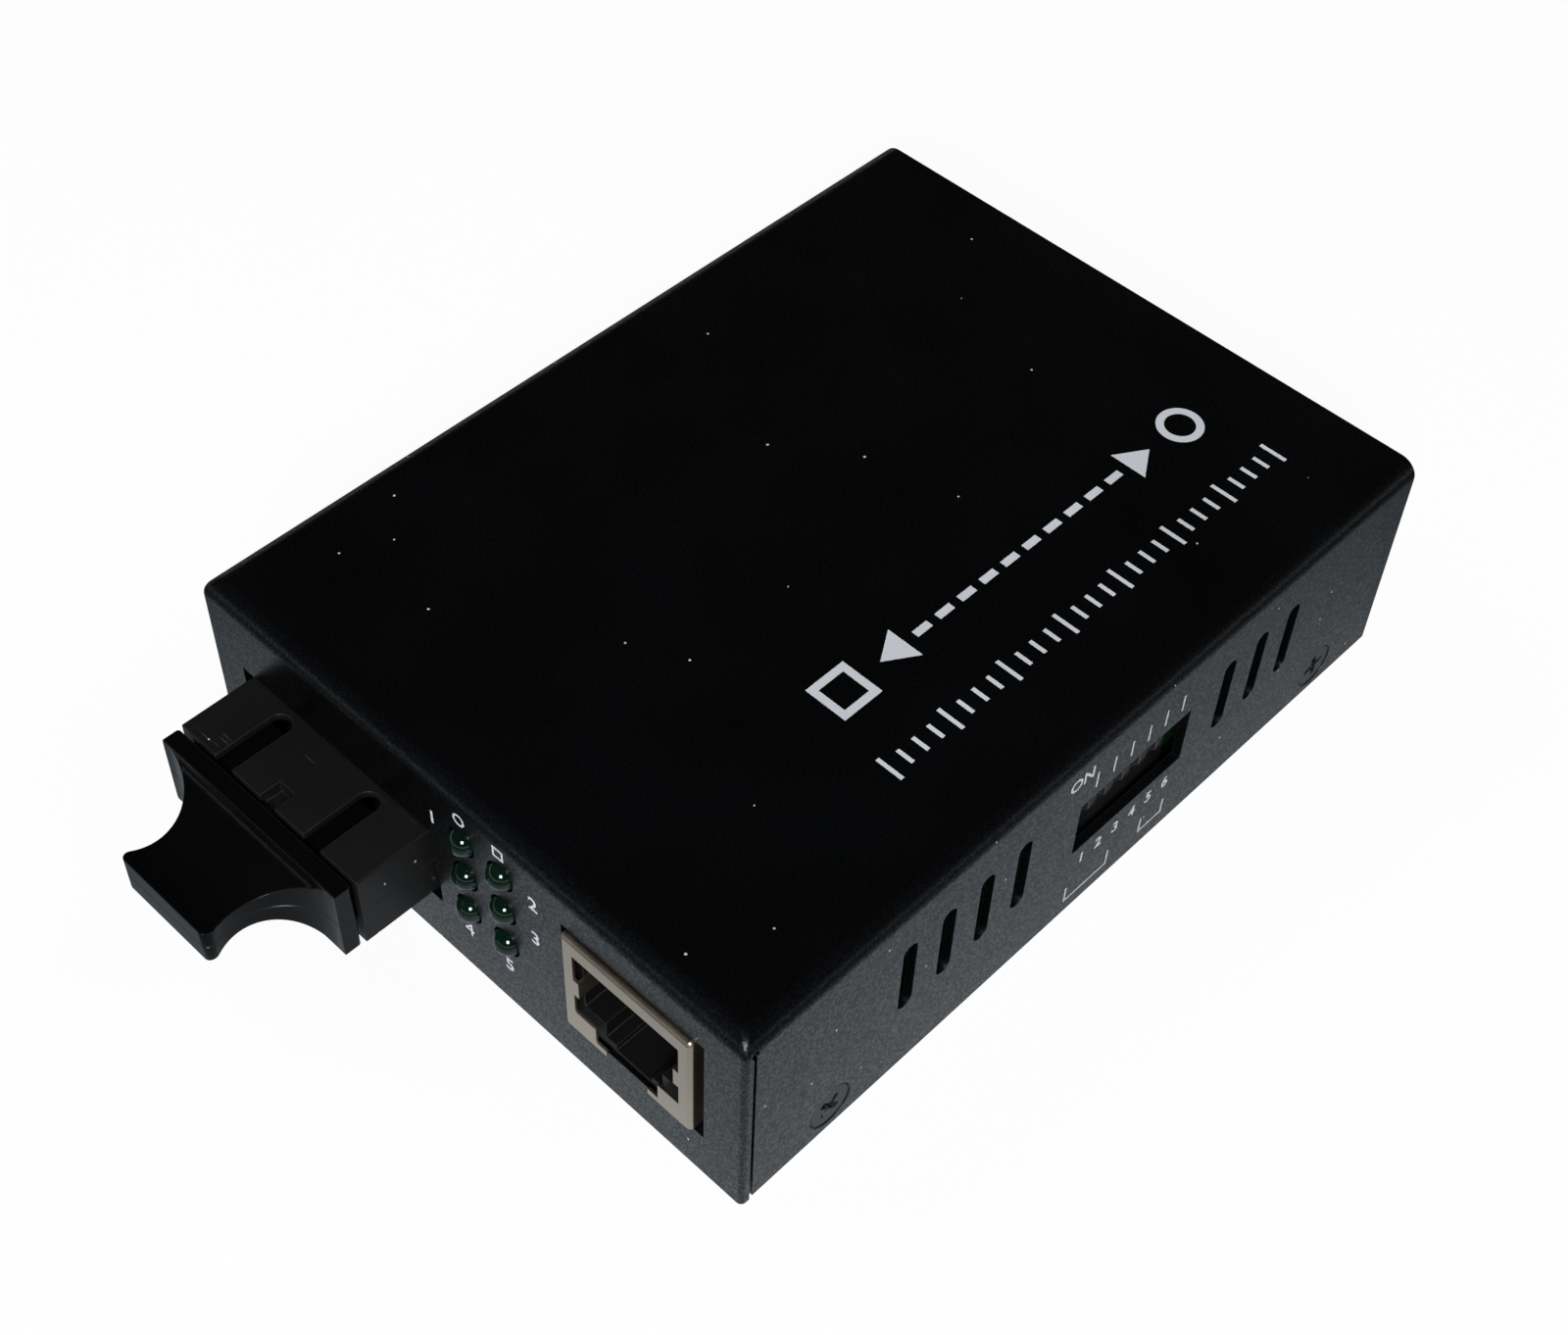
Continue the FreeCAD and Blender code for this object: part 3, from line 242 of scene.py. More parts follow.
paper = put(tree, "ShaderNodeTexNoise", {"Scale": 40.0, "Detail": 2.0}).outputs["Fac"]
cloth = put(tree, "ShaderNodeBsdfDiffuse", {"Color": ramp(tree, paper, 0.0, 1.0, PAPER)})
shade = blend_colours(tree, path["Is Camera Ray"], COOL_WHITE, WHITE)
glow = put(tree, "ShaderNodeEmission", {"Color": shade, "Strength": white})
mix = put(tree, "ShaderNodeMixShader", {"Fac": glowing, 1: cloth.outputs[0], 2: glow.outputs[0]})
put(tree, "ShaderNodeOutputMaterial", {"Surface": mix.outputs[0]})

sheet = bpy.data.meshes.new("table")
square = [(x * TABLE_REACH, y * TABLE_REACH, 0) for x, y in ((-1, -1), (1, -1), (1, 1), (-1, 1))]
sheet.from_pydata(square, [], [(0, 1, 2, 3)])
sheet.materials.append(table_material)
table = add_object("table", sheet)
print("table", 2 * TABLE_REACH, "m wide")

# %% [markdown]
# ## Effects that several finishes share
# Grain, dust, scratches and edges lightened partly for wear and partly as a painted highlight
# turn up on nearly every piece. Each is a group with its own inputs, built once, and each finish
# uses it with its own numbers.

# %% Grain: cloudy change of colour, gloss and height
CLOUDS = (0.65, 1.35)          # sums of two noises between which dark turns to light

grain_group, given, result = start_group(
    "grain",
    [("Coordinate", "Vector", None), ("Scale", "Float", 2000.0),
     ("Stretch", "Vector", (1.0, 1.0, 1.0)), ("Dark", "Color", (0, 0, 0, 1)),
     ("Light", "Color", (1, 1, 1, 1)), ("Smooth", "Float", 0.3), ("Rough", "Float", 0.5)],
    [("Colour", "Color"), ("Roughness", "Float"), ("Height", "Float")])
pulled = calculate_vector(grain_group, "MULTIPLY", given["Coordinate"], given["Stretch"])
fine = put(grain_group, "ShaderNodeTexNoise",
           {"Vector": pulled, "Scale": given["Scale"], "Detail": 3.0}).outputs["Fac"]
large = put(grain_group, "ShaderNodeTexNoise",
            {"Vector": given["Coordinate"], "Scale": 70.0, "Detail": 2.0}).outputs["Fac"]
both = calculate(grain_group, "ADD", fine, large)
tint = blend_colours(grain_group, ramp(grain_group, both, *CLOUDS), given["Dark"], given["Light"])
gloss = ramp(grain_group, both, *CLOUDS, (given["Smooth"], given["Rough"]))
fill(grain_group, result, {"Colour": tint, "Roughness": gloss, "Height": fine})
print("group:", grain_group.name)

# %% Dust: a few tiny pale specks
dust_group, given, result = start_group(
    "dust",
    [("Coordinate", "Vector", None), ("Scale", "Float", 900.0), ("Size", "Float", 0.12),
     ("Share", "Float", 0.03)],
    [("Mask", "Float")])
cells = put(dust_group, "ShaderNodeTexVoronoi",
            {"Vector": given["Coordinate"], "Scale": given["Scale"]}).outputs
near = calculate(dust_group, "LESS_THAN", cells["Distance"], given["Size"])
pick = put(dust_group, "ShaderNodeSeparateColor", {"Color": cells["Color"]}).outputs["Red"]
chosen = calculate(dust_group, "LESS_THAN", pick, given["Share"])
fill(dust_group, result, {"Mask": calculate(dust_group, "MULTIPLY", near, chosen)})
print("group:", dust_group.name)

# %% Scratches: thin pale hairlines in patches
HAIRS = (0.70, 0.76)           # noise between which a hairline appears
PATCHES = (0.52, 0.62)         # noise between which a patch of them appears

scratch_group, given, result = start_group(
    "scratches",
    [("Coordinate", "Vector", None), ("Scale", "Float", 250.0), ("Amount", "Float", 0.3)],
    [("Mask", "Float")])
warp = put(scratch_group, "ShaderNodeMapping",
           {"Vector": given["Coordinate"], "Rotation": (0.4, 0.3, 0.7), "Scale": (1.0, 14.0, 5.0)})
hair = put(scratch_group, "ShaderNodeTexNoise",
           {"Vector": warp.outputs[0], "Scale": given["Scale"], "Detail": 1.0}).outputs["Fac"]
cloud = put(scratch_group, "ShaderNodeTexNoise",
            {"Vector": given["Coordinate"], "Scale": 180.0}).outputs["Fac"]
thin = ramp(scratch_group, hair, *HAIRS)
where = ramp(scratch_group, cloud, *PATCHES, (0.0, given["Amount"]))
fill(scratch_group, result, {"Mask": calculate(scratch_group, "MULTIPLY", thin, where)})
print("group:", scratch_group.name)

# %% Worn edges with a painted highlight: where the surface turns sharply
AGREEMENT = (0.995, 0.85)      # dot products of two normals between which an edge wears and gets a painted highlight

# The edge mask lightens the colour: partly wear, partly a painted highlight where an edge would
# catch light.
wear_and_highlight_group, given, result = start_group(
    "worn_and_highlit_edge", [("Radius", "Float", 0.0002), ("Amount", "Float", 0.3)], [("Mask", "Float")])
rounded = put(wear_and_highlight_group, "ShaderNodeBevel", {"Radius": given["Radius"]}, samples=4).outputs[0]
plain = put(wear_and_highlight_group, "ShaderNodeNewGeometry").outputs["Normal"]
agree = calculate_vector(wear_and_highlight_group, "DOT_PRODUCT", rounded, plain)
fill(wear_and_highlight_group, result, {"Mask": ramp(wear_and_highlight_group, agree, *AGREEMENT, (0.0, given["Amount"]))})
print("group:", wear_and_highlight_group.name)

# %% [markdown]
# ## Finishes
# A finish starts from grain, lets dust and scratches show through it, and lightens sharp
# edges, partly as wear and partly as a painted highlight. Powder coat also gets flecks of clear
# coat, where its higher grains have melted to a gloss. Numbers that are the same all over a piece,
# such as how strongly it mirrors, are set on the shader itself. Grain sizes are given in millimetres
# and turned into noise scales.

# %% One helper for all plain finishes
MELTED = (0.46, 0.60)          # grain heights between which the clear coat sets in
# pale colour of dust and scratches, and of edges lightened partly for wear and partly as a painted
# highlight
PALE_DUST_AND_HIGHLIGHT = (0.55, 0.56, 0.58, 1.0)
finishes = {}


def make_finish(name, dark, light, gloss, grain=0.3, bump=0.004, stretch=(1, 1, 1), metallic=0.0,
                specular=0.5, tint=(1.0, 1.0, 1.0), flecks=0.0, dust=0.0, scratches=0.0, wear_and_highlight=0.0,
                pale=PALE_DUST_AND_HIGHLIGHT):
    """A material with grain, and flecks, dust, scratches or edges lightened partly for wear and
    partly as a painted highlight, where asked.
    """
    material = bpy.data.materials.new(name)
    material.use_nodes = True
    tree = material.node_tree
    shader = tree.nodes["Principled BSDF"].inputs
    place = put(tree, "ShaderNodeTexCoord").outputs["Object"]
    cloud = put(tree, "ShaderNodeGroup", {
        "Coordinate": place, "Scale": 1.0 / (grain * MM), "Stretch": stretch, "Dark": (*dark, 1.0),
        "Light": (*light, 1.0), "Smooth": gloss[0], "Rough": gloss[1]},
                node_tree=grain_group).outputs
    colour, height = cloud["Colour"], cloud["Height"]
    if flecks:
        melted = ramp(tree, height, *MELTED, (0.0, flecks))
        fill(tree, shader, {"Coat Weight": melted, "Coat Roughness": gloss[0]})
    # dust and scratches are real marks; the edge mask is partly wear and partly a painted highlight
    for group, amount, values in (
            (dust_group, dust, {"Coordinate": place, "Share": dust}),
            (scratch_group, scratches, {"Coordinate": place, "Amount": scratches}),
            (wear_and_highlight_group, wear_and_highlight, {"Amount": wear_and_highlight})):
        if amount:
            mask = put(tree, "ShaderNodeGroup", values, node_tree=group).outputs["Mask"]
            colour = blend_colours(tree, mask, colour, pale)
    relief = put(tree, "ShaderNodeBump", {"Height": height, "Distance": bump * MM, "Strength": 1.0})
    fill(tree, shader, {
        "Base Color": colour, "Roughness": cloud["Roughness"], "Normal": relief.outputs[0],
        "Metallic": metallic, "Specular IOR Level": specular, "Specular Tint": (*tint, 1.0)})
    finishes[name] = material
    return material


print("finish helper ready")

# %% The finishes of this converter
cool = (0.86, 0.93, 1.0)
# on the powder coat the small edge share paints a faint highlight along the edges, with a little
# wear
powder = {"grain": 0.26, "bump": 0.03, "specular": 0.29, "tint": cool, "flecks": 0.65, "wear_and_highlight": 0.02}
make_finish("black_powder_coat", (0.0009, 0.0010, 0.0012), (0.0020, 0.0022, 0.0026), (0.30, 0.38),
            dust=0.012, **powder)
make_finish("tray_powder_coat", (0.0012, 0.0013, 0.0015), (0.0026, 0.0028, 0.0032), (0.32, 0.40),
            **powder)
make_finish("black_steel", (0.004, 0.004, 0.005), (0.012, 0.012, 0.014), (0.22, 0.34),
            grain=0.3, specular=0.24, tint=cool, wear_and_highlight=0.1)
make_finish("zinc_steel", (0.42, 0.42, 0.41), (0.62, 0.62, 0.60), (0.22, 0.38),
            metallic=1.0, wear_and_highlight=0.2)
make_finish("standoff_brass", (0.50, 0.38, 0.14), (0.72, 0.58, 0.28), (0.2, 0.35),
            stretch=(1, 1, 9), metallic=1.0)
# The board's green is kept far darker than bare solder mask: painted shade for the inside of the
# box, seen through the switch window.
make_finish("circuit_board", (0.002, 0.015, 0.006), (0.004, 0.028, 0.011), (0.25, 0.4),
            grain=0.6, bump=0.01)
make_finish("black_shell", (0.007, 0.007, 0.007), (0.012, 0.012, 0.012), (0.34, 0.46),
            grain=0.16, bump=0.012, specular=0.17, dust=0.07, scratches=0.08, wear_and_highlight=0.03)
make_finish("latch_plastic", (0.004, 0.004, 0.004), (0.008, 0.008, 0.008), (0.4, 0.5), specular=0.3)
make_finish("zirconia", (0.80, 0.80, 0.77), (0.90, 0.90, 0.88), (0.15, 0.25), bump=0.001)
make_finish("plug_plastic", (0.0015, 0.0015, 0.0015), (0.003, 0.003, 0.003), (0.16, 0.24),
            grain=0.2, bump=0.002, specular=0.16, dust=0.015, wear_and_highlight=0.03)
make_finish("nickel_shield", (0.52, 0.43, 0.34), (0.72, 0.61, 0.49), (0.28, 0.42),
            grain=0.25, bump=0.003, stretch=(1, 1, 8), metallic=1.0, scratches=0.3, wear_and_highlight=0.35,
            pale=(0.7, 0.68, 0.63, 1.0))
make_finish("jack_plastic", (0.003, 0.003, 0.003), (0.007, 0.007, 0.007), (0.35, 0.5),
            grain=0.2, specular=0.35, wear_and_highlight=0.03)
make_finish("gold_wire", (0.62, 0.40, 0.12), (0.85, 0.62, 0.24), (0.15, 0.3),
            bump=0.001, metallic=1.0)
make_finish("tinned_brass", (0.48, 0.47, 0.44), (0.70, 0.68, 0.63), (0.2, 0.35), metallic=1.0)
make_finish("switch_black", (0.006, 0.006, 0.007), (0.014, 0.014, 0.016), (0.3, 0.45), wear_and_highlight=0.1)
make_finish("slider_plastic", (0.012, 0.012, 0.013), (0.024, 0.024, 0.026), (0.3, 0.42), wear_and_highlight=0.2)
make_finish("chip_package", (0.012, 0.012, 0.013), (0.024, 0.024, 0.026), (0.4, 0.55), grain=0.15)
make_finish("capacitor_can", (0.5, 0.5, 0.52), (0.7, 0.7, 0.72), (0.25, 0.4),
            stretch=(1, 1, 6), metallic=1.0)
make_finish("chip_ceramic", (0.22, 0.16, 0.10), (0.42, 0.33, 0.22), (0.35, 0.5), grain=0.8)
make_finish("white_ink", (0.54, 0.56, 0.60), (0.68, 0.71, 0.76), (0.5, 0.65),
            grain=0.12, bump=0.006, specular=0.3)
print("finishes:", len(finishes))

# %% [markdown]
# ## Lamp resin
# The lamps are unlit green domes. Clear tinted resin lets light in, bends it and swallows
# most of it, so the domes look almost black-green with one bright point on each.

# %% Tinted resin
lamp_resin = make_finish("lamp_green", (0.002, 0.010, 0.006), (0.004, 0.019, 0.011), (0.03, 0.08),
                         grain=0.8, bump=0.0005)
lamp_shader = lamp_resin.node_tree.nodes["Principled BSDF"]
lamp_shader.inputs["Transmission Weight"].default_value = 0.35
lamp_shader.inputs["IOR"].default_value = 1.53
print("resin ready")

# %% [markdown]
# ## Give every piece of the frame its finish
# The record names a material slot for each piece of the frame, and the finishes carry the
# same names, so one loop dresses them all.

# %% Assign finishes by slot
slot_of = {part["node"]: part["material_slot"] for part in frame["record"]["subparts"]}
bodies = frame["record"]["behaviour"]["bodies"]
body_of = {member: body for body, members in bodies.items() for member in members}
for name, piece in frame["nodes"].items():
    piece.data.materials.clear()
    piece.data.materials.append(finishes[slot_of[name]])
print("dressed", len(slot_of), "pieces")

# %% [markdown]
# ## Softened edges
# No real edge is perfectly sharp. The frame's meshes are loose triangles, so a copy is
# merged, its flat faces are joined, and a narrow bevel rounds each edge. The rounded edge
# then catches a thin line of light. The copy stands for the piece of the frame. The plug also
# gets the line its mould leaves, a fine groove round the flange and the grip half-way up, and
# the cover's two front corners are rounded where two bends meet, to catch a small highlight.

# %% Helper: a softened copy of a piece
MERGE = 0.0005 * MM            # points of a frame piece that are closer than this are one point
ON_CUT = 0.0002 * MM           # points closer than this to a cut lie on it
ON_LINE = 0.001 * MM           # points closer than this to the mould line lie on it
SLIVER = 0.004 * MM            # points of a rounded corner that are closer than this are one point
BEVEL_TURN = math.radians(35)  # edges that turn more than this are bevelled
SHARP_TURN = math.radians(48)  # edges that turn more than this still look sharp
SEAM_CUTS = (-1.0, -0.73, -0.42, 0.42, 0.73, 1.0)  # beside a seam, in shares of the radius


def settle(piece):
    """Turns a piece with modifiers into a plain mesh."""
    evaluated = piece.evaluated_get(bpy.context.evaluated_depsgraph_get())
    mesh = bpy.data.meshes.new_from_object(evaluated)
    piece.modifiers.clear()
    piece.data = mesh


def round_edges(piece, edge, segments=2):
    """Bevels the edges of a piece that turn sharply, edge in millimetres."""
    bevel = piece.modifiers.new("edge", "BEVEL")
    bevel.width = edge * MM
    bevel.segments = segments
    bevel.limit_method = "ANGLE"
    bevel.angle_limit = BEVEL_TURN
    bevel.use_clamp_overlap = True
    settle(piece)


def shade_smooth(piece):
    """Smooth shading between sharp edges, led by the large faces."""
    form = bmesh.new()
    form.from_mesh(piece.data)
    for face in form.faces:
        face.smooth = True
    for edge in form.edges:
        edge.smooth = edge.is_manifold and edge.calc_face_angle() < SHARP_TURN
    form.to_mesh(piece.data)
    form.free()
    weighted = piece.modifiers.new("normals", "WEIGHTED_NORMAL")
    weighted.keep_sharp = True
    settle(piece)


def sink_line(piece, seam, front, half=0.07, depth=0.09):
    """A level mould line: three cuts give it a row of points, and the middle row sinks."""
    form = bmesh.new()
    form.from_mesh(piece.data)
    for offset in (-half, 0.0, half):
        everything = form.verts[:] + form.edges[:] + form.faces[:]
        bmesh.ops.bisect_plane(form, geom=everything, dist=ON_CUT, plane_no=(0, 0, 1),
                               plane_co=(0, 0, seam + offset * MM))
    form.normal_update()
    line = [vert for vert in form.verts if abs(vert.co.z - seam) < ON_LINE and vert.co.y < front]
    inwards = [Vector((-vert.normal.x, -vert.normal.y, 0)).normalized() for vert in line]
    for vert, inward in zip(line, inwards):
        vert.co += inward * depth * MM
    form.to_mesh(piece.data)
    form.free()


def cut_beside_seam(form, side, wide, front, bend, radius):
    """Slanted cuts beside one front seam give the corner points enough for an arc."""
    margin = 1.1 * bend
    for share in SEAM_CUTS:
        close = [face for face in form.faces
                 if any(side * vert.co.x > wide - margin and -vert.co.y > front - margin
                        for vert in face.verts)]
        edges = list(dict.fromkeys(edge for face in close for edge in face.edges))
        verts = list(dict.fromkeys(vert for face in close for vert in face.verts))
        bmesh.ops.bisect_plane(form, geom=close + edges + verts, dist=ON_CUT, plane_no=(side, 1, 0),
                               plane_co=(side * (wide + share * radius), -front, 0))


def round_corners(form, wide, front, top, bend, radius):
    """Rounds the cover's two front corners: the points beside each seam move onto an arc."""
    for side in (1, -1):
        cut_beside_seam(form, side, wide, front, bend, radius)
    moved = 0
    for vert in form.verts:
        rise = min(max(vert.co.z - top + bend, 0.0), bend)
        inset = bend - math.sqrt(bend ** 2 - rise ** 2)
        centre = Vector((wide - inset - radius, front - inset - radius))
        past = Vector((abs(vert.co.x), -vert.co.y)) - centre
        if min(past) > 0 and past.length > radius:
            placed = centre + past.normalized() * radius
            vert.co.x, vert.co.y = math.copysign(placed.x, vert.co.x), -placed.y
            moved += 1
    bmesh.ops.remove_doubles(form, verts=form.verts, dist=SLIVER)
    print("rounded corners:", moved, "points moved")


def soften(name, edge, segments=2, flat=0.6, line=None, corners=None):
    """A merged, bevelled copy of a frame piece, with a mould line or round corners if asked."""
    source = frame["nodes"][name]
    form = bmesh.new()
    form.from_mesh(source.data)
    bmesh.ops.remove_doubles(form, verts=form.verts, dist=MERGE)
    bmesh.ops.dissolve_limit(form, angle_limit=math.radians(flat), verts=form.verts,
                             edges=form.edges)
    if corners:
        round_corners(form, *corners)
    mesh = bpy.data.meshes.new(name + "_form")
    form.to_mesh(mesh)
    form.free()
    mesh.materials.append(finishes[slot_of[name]])
    piece = add_object(name + "_form", mesh)
    if edge:
        round_edges(piece, edge, segments)
    if line:
        sink_line(piece, *line)
    shade_smooth(piece)
    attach(piece, body_of[name])
    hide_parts(name)
    return piece


print("softening helper ready")

# %% Soften what shows
COVER_BEND = 2.0 * MM          # outer radius of the cover's bends
COVER_CORNER = 0.6 * MM        # radius where two bends meet

made = soften("top_cover", 0.05,
              corners=(case_high.x, -case_low.y, case_high.z, COVER_BEND, COVER_CORNER))
print("top_cover", len(made.data.polygons), "faces")
for name, edge in (("base_tray", 0.05), ("receptacle_upper_shell", 0.1),
                   ("receptacle_lower_shell", 0.1), ("rj45_shield", 0.05), ("rj45_insert", 0.05),
                   ("switch_body", 0.05), ("power_jack_body", 0.1)):
    made = soften(name, edge)
    print(name, len(made.data.polygons), "faces")
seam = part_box("receptacle_upper_shell")[0]
made = soften("dust_plug", 0.22, segments=3, line=(seam.z, seam.y))
print("dust_plug", len(made.data.polygons), "faces, mould line at", round(seam.z / MM, 2), "mm")
for number in range(1, 7):
    soften(f"switch_slider_{number}", 0.06)
    soften(f"lamp_{number}", 0.0, flat=0.1)

# %% [markdown]
# ## Case screws
# Four countersunk cross-head screws hold the cover. Their heads are lathe-made cones, and
# the cross is pressed in by a tapered punch: two crossed bars, limited by a cone. A geometry
# node tree builds one screw from those simple forms and sets it on four points. Each point
# carries its own turn, because no two screws stop at the same angle.

# %% Helpers for geometry nodes
def start_tree(name, inputs):
    """A geometry tree with named inputs, its input sockets and its output sockets."""
    tree = bpy.data.node_groups.new(name, "GeometryNodeTree")
    tree.interface.new_socket("Geometry", in_out="INPUT", socket_type="NodeSocketGeometry")
    for label, kind in inputs:
        tree.interface.new_socket(label, in_out="INPUT", socket_type="NodeSocket" + kind)
    tree.interface.new_socket("Geometry", in_out="OUTPUT", socket_type="NodeSocketGeometry")
    given = tree.nodes.new("NodeGroupInput").outputs
    return tree, given, tree.nodes.new("NodeGroupOutput").inputs


def cone(tree, wide, narrow, low, high, sides=40):
    """A capped cone from height low to height high."""
    made = put(tree, "GeometryNodeMeshCone", {
        "Vertices": sides, "Radius Top": narrow * MM, "Radius Bottom": wide * MM,
        "Depth": (high - low) * MM})
    moved = put(tree, "GeometryNodeTransform",
                {"Geometry": made.outputs["Mesh"], "Translation": (0, 0, low * MM)})
    return moved.outputs["Geometry"]


def combine(tree, way, first, others):
    """Joins, cuts or overlaps closed forms."""
    made = put(tree, "GeometryNodeMeshBoolean", operation=way, solver="EXACT")
    tree.links.new(first, made.inputs["Mesh 1" if way == "DIFFERENCE" else "Mesh 2"])
    for other in others:
        tree.links.new(other, made.inputs["Mesh 2"])
    return made.outputs["Mesh"]


def run_tree(piece, tree, values):
    """Runs a geometry tree on a piece and keeps the result as its mesh."""
    grower = piece.modifiers.new("grow", "NODES")
    grower.node_group = tree
    for item in tree.interface.items_tree:
        if item.in_out == "INPUT" and item.name in values:
            grower[item.identifier] = values[item.name]
    settle(piece)


print("geometry helpers ready")

# %% The screw tree: all sizes in millimetres, heights counted from the head's face
FACE_RADIUS = 2.34
RIM_RADIUS = 2.46
RIM_LOW = -0.1                 # the rim is a shallow chamfer down to here
NECK_RADIUS = 1.45
NECK_LOW = -1.1                # the countersink ends here
SHANK_RADIUS = 1.42
SHANK_LOW = -2.7
TIP_RADIUS = 0.95
TIP_LOW = -3.1
LAP = 0.0002                   # forms that meet end to end lap by this
BAR_LENGTH, BAR_WIDTH, BAR_HEIGHT = 3.3, 0.78, 2.4
PUNCH_TIP, PUNCH_TOP = 0.4, 1.75                   # radii of the punch's cone
PUNCH_LOW, PUNCH_HIGH = -1.15, 0.3

screw_tree, given, result = start_tree("cross_screws", [("Steel", "Material")])
head = cone(screw_tree, NECK_RADIUS, RIM_RADIUS, NECK_LOW, RIM_LOW)
rim = cone(screw_tree, RIM_RADIUS, FACE_RADIUS, RIM_LOW - LAP, 0.0)
shank = cone(screw_tree, SHANK_RADIUS, SHANK_RADIUS, SHANK_LOW, -1.0)
tip = cone(screw_tree, TIP_RADIUS, SHANK_RADIUS, TIP_LOW, SHANK_LOW + LAP)
solid = combine(screw_tree, "UNION", head, [rim, shank, tip])
bars = [put(screw_tree, "GeometryNodeMeshCube",
            {"Size": (x * MM, y * MM, BAR_HEIGHT * MM)}).outputs["Mesh"]
        for x, y in ((BAR_LENGTH, BAR_WIDTH), (BAR_WIDTH, BAR_LENGTH))]
cross = combine(screw_tree, "UNION", bars[0], [bars[1]])
taper = cone(screw_tree, PUNCH_TIP, PUNCH_TOP, PUNCH_LOW, PUNCH_HIGH, sides=24)
punch = combine(screw_tree, "INTERSECT", cross, [taper])
screw = combine(screw_tree, "DIFFERENCE", solid, [punch])
screw = put(screw_tree, "GeometryNodeMergeByDistance",
            {"Geometry": screw, "Distance": 0.002 * MM}).outputs[0]
turns = put(screw_tree, "GeometryNodeInputNamedAttribute", {"Name": "turn"},
            data_type="FLOAT_VECTOR")
turned = put(screw_tree, "FunctionNodeEulerToRotation", {0: turns.outputs[0]})
copies = put(screw_tree, "GeometryNodeInstanceOnPoints",
             {"Points": given["Geometry"], "Instance": screw, "Rotation": turned.outputs[0]})
real = put(screw_tree, "GeometryNodeRealizeInstances", {"Geometry": copies.outputs[0]})
steel = put(screw_tree, "GeometryNodeSetMaterial",
            {"Geometry": real.outputs[0], "Material": given["Steel"]})
screw_tree.links.new(steel.outputs[0], result[0])
print("tree:", screw_tree.name)

# %% Four screws on four points
def add_piece(name, mesh, body="converter"):
    """Puts a mesh into the scene as a piece of a body."""
    piece = add_object(name, mesh)
    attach(piece, body)
    return piece


screws_low, screws_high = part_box("case_screws")
screw_z = (screws_low.z + screws_high.z) / 2
head_radius = (screws_high.z - screws_low.z) / 2
spins = iter((0.35, 1.1, 0.8, 0.2))                # how far each screw is turned, in radians
places, turns = [], []
for x, side in ((screws_low.x, -1), (screws_high.x, 1)):
    for y in (screws_low.y + head_radius, screws_high.y - head_radius):
        places.append((x, y, screw_z))
        outward = Matrix.Rotation(side * math.pi / 2, 3, "Y")
        turns.append((outward @ Matrix.Rotation(next(spins), 3, "Z")).to_euler())
points = bpy.data.meshes.new("screw_points")
points.from_pydata(places, [], [])
attribute = points.attributes.new("turn", "FLOAT_VECTOR", "POINT")
for item, value in zip(attribute.data, turns):
    item.vector = value
screws = add_piece("case_screws_form", points)
run_tree(screws, screw_tree, {"Steel": finishes["black_steel"]})
round_edges(screws, 0.035)
shade_smooth(screws)
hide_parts("case_screws")
centres = [tuple(round(v / MM, 1) for v in place) for place in places]
print("screws:", len(screws.data.polygons), "faces at", centres)

# %% [markdown]
# ## Printed marks
# White ink lies on the lid, the front and the right side. The prints on such a box are words
# and symbols; here plain rings, arrows, ticks and numbers stand in their places, in the same
# ink, line width and size. Ink is a skin about a hundredth of a millimetre thick, so each
# mark is a very thin solid lying on the paint. Each face of the box has its own sheet with
# an across and an up direction, and marks are drawn on it in millimetres.

# %% Helpers for ink
INK = 0.012                    # thickness of the ink, in millimetres as all that follows
INK_LIFT = 0.003               # between the ink and the paint
LETTER_SIZE = 1.38             # the font's own size for a capital one millimetre tall
LETTER_WEIGHT = 0.035          # added to each side of a stroke
corner = Vector((case_high.x, case_low.y, case_high.z)) / MM
sheets = {
    "lid": (Vector((0, 0, corner.z)), Vector((0, 1, 0)), Vector((-1, 0, 0))),
    "front": (Vector((0, corner.y, 0)), Vector((1, 0, 0)), Vector((0, 0, 1))),
    "side": (Vector((corner.x, 0, 0)), Vector((0, 1, 0)), Vector((0, 0, 1))),
}


def sheet_matrix(face):
    """From marks in millimetres to their place on a face of the box, in metres."""
    origin, across, upward = sheets[face]
    outward = across.cross(upward)
    turned = Matrix((across, upward, outward)).transposed().to_4x4()
    return Matrix.Scale(MM, 4) @ Matrix.Translation(origin + outward * INK_LIFT) @ turned


def add_skin(form, outer, inner=None):
    """A thin flat solid with an outline, and a hole of as many corners if asked."""
    loops = [outer] if inner is None else [outer, inner]
    low = [[form.verts.new((u, v, 0.0)) for u, v in loop] for loop in loops]
    high = [[form.verts.new((u, v, INK)) for u, v in loop] for loop in loops]
    count = len(outer)
    if inner is None:
        form.faces.new(high[0])
        form.faces.new(low[0][::-1])
    for i in range(count):
        j = (i + 1) % count
        form.faces.new((low[0][i], low[0][j], high[0][j], high[0][i]))
        if inner is not None:
            form.faces.new((low[1][j], low[1][i], high[1][i], high[1][j]))
            form.faces.new((high[0][i], high[0][j], high[1][j], high[1][i]))
            form.faces.new((low[0][j], low[0][i], low[1][i], low[1][j]))


def add_bracket(form, left, right, low, high, width):
    """A bracket that is open at the top."""
    add_skin(form, [(left, high), (left, low), (right, low), (right, high),
                    (right - width, high), (right - width, low + width),
                    (left + width, low + width), (left + width, high)])


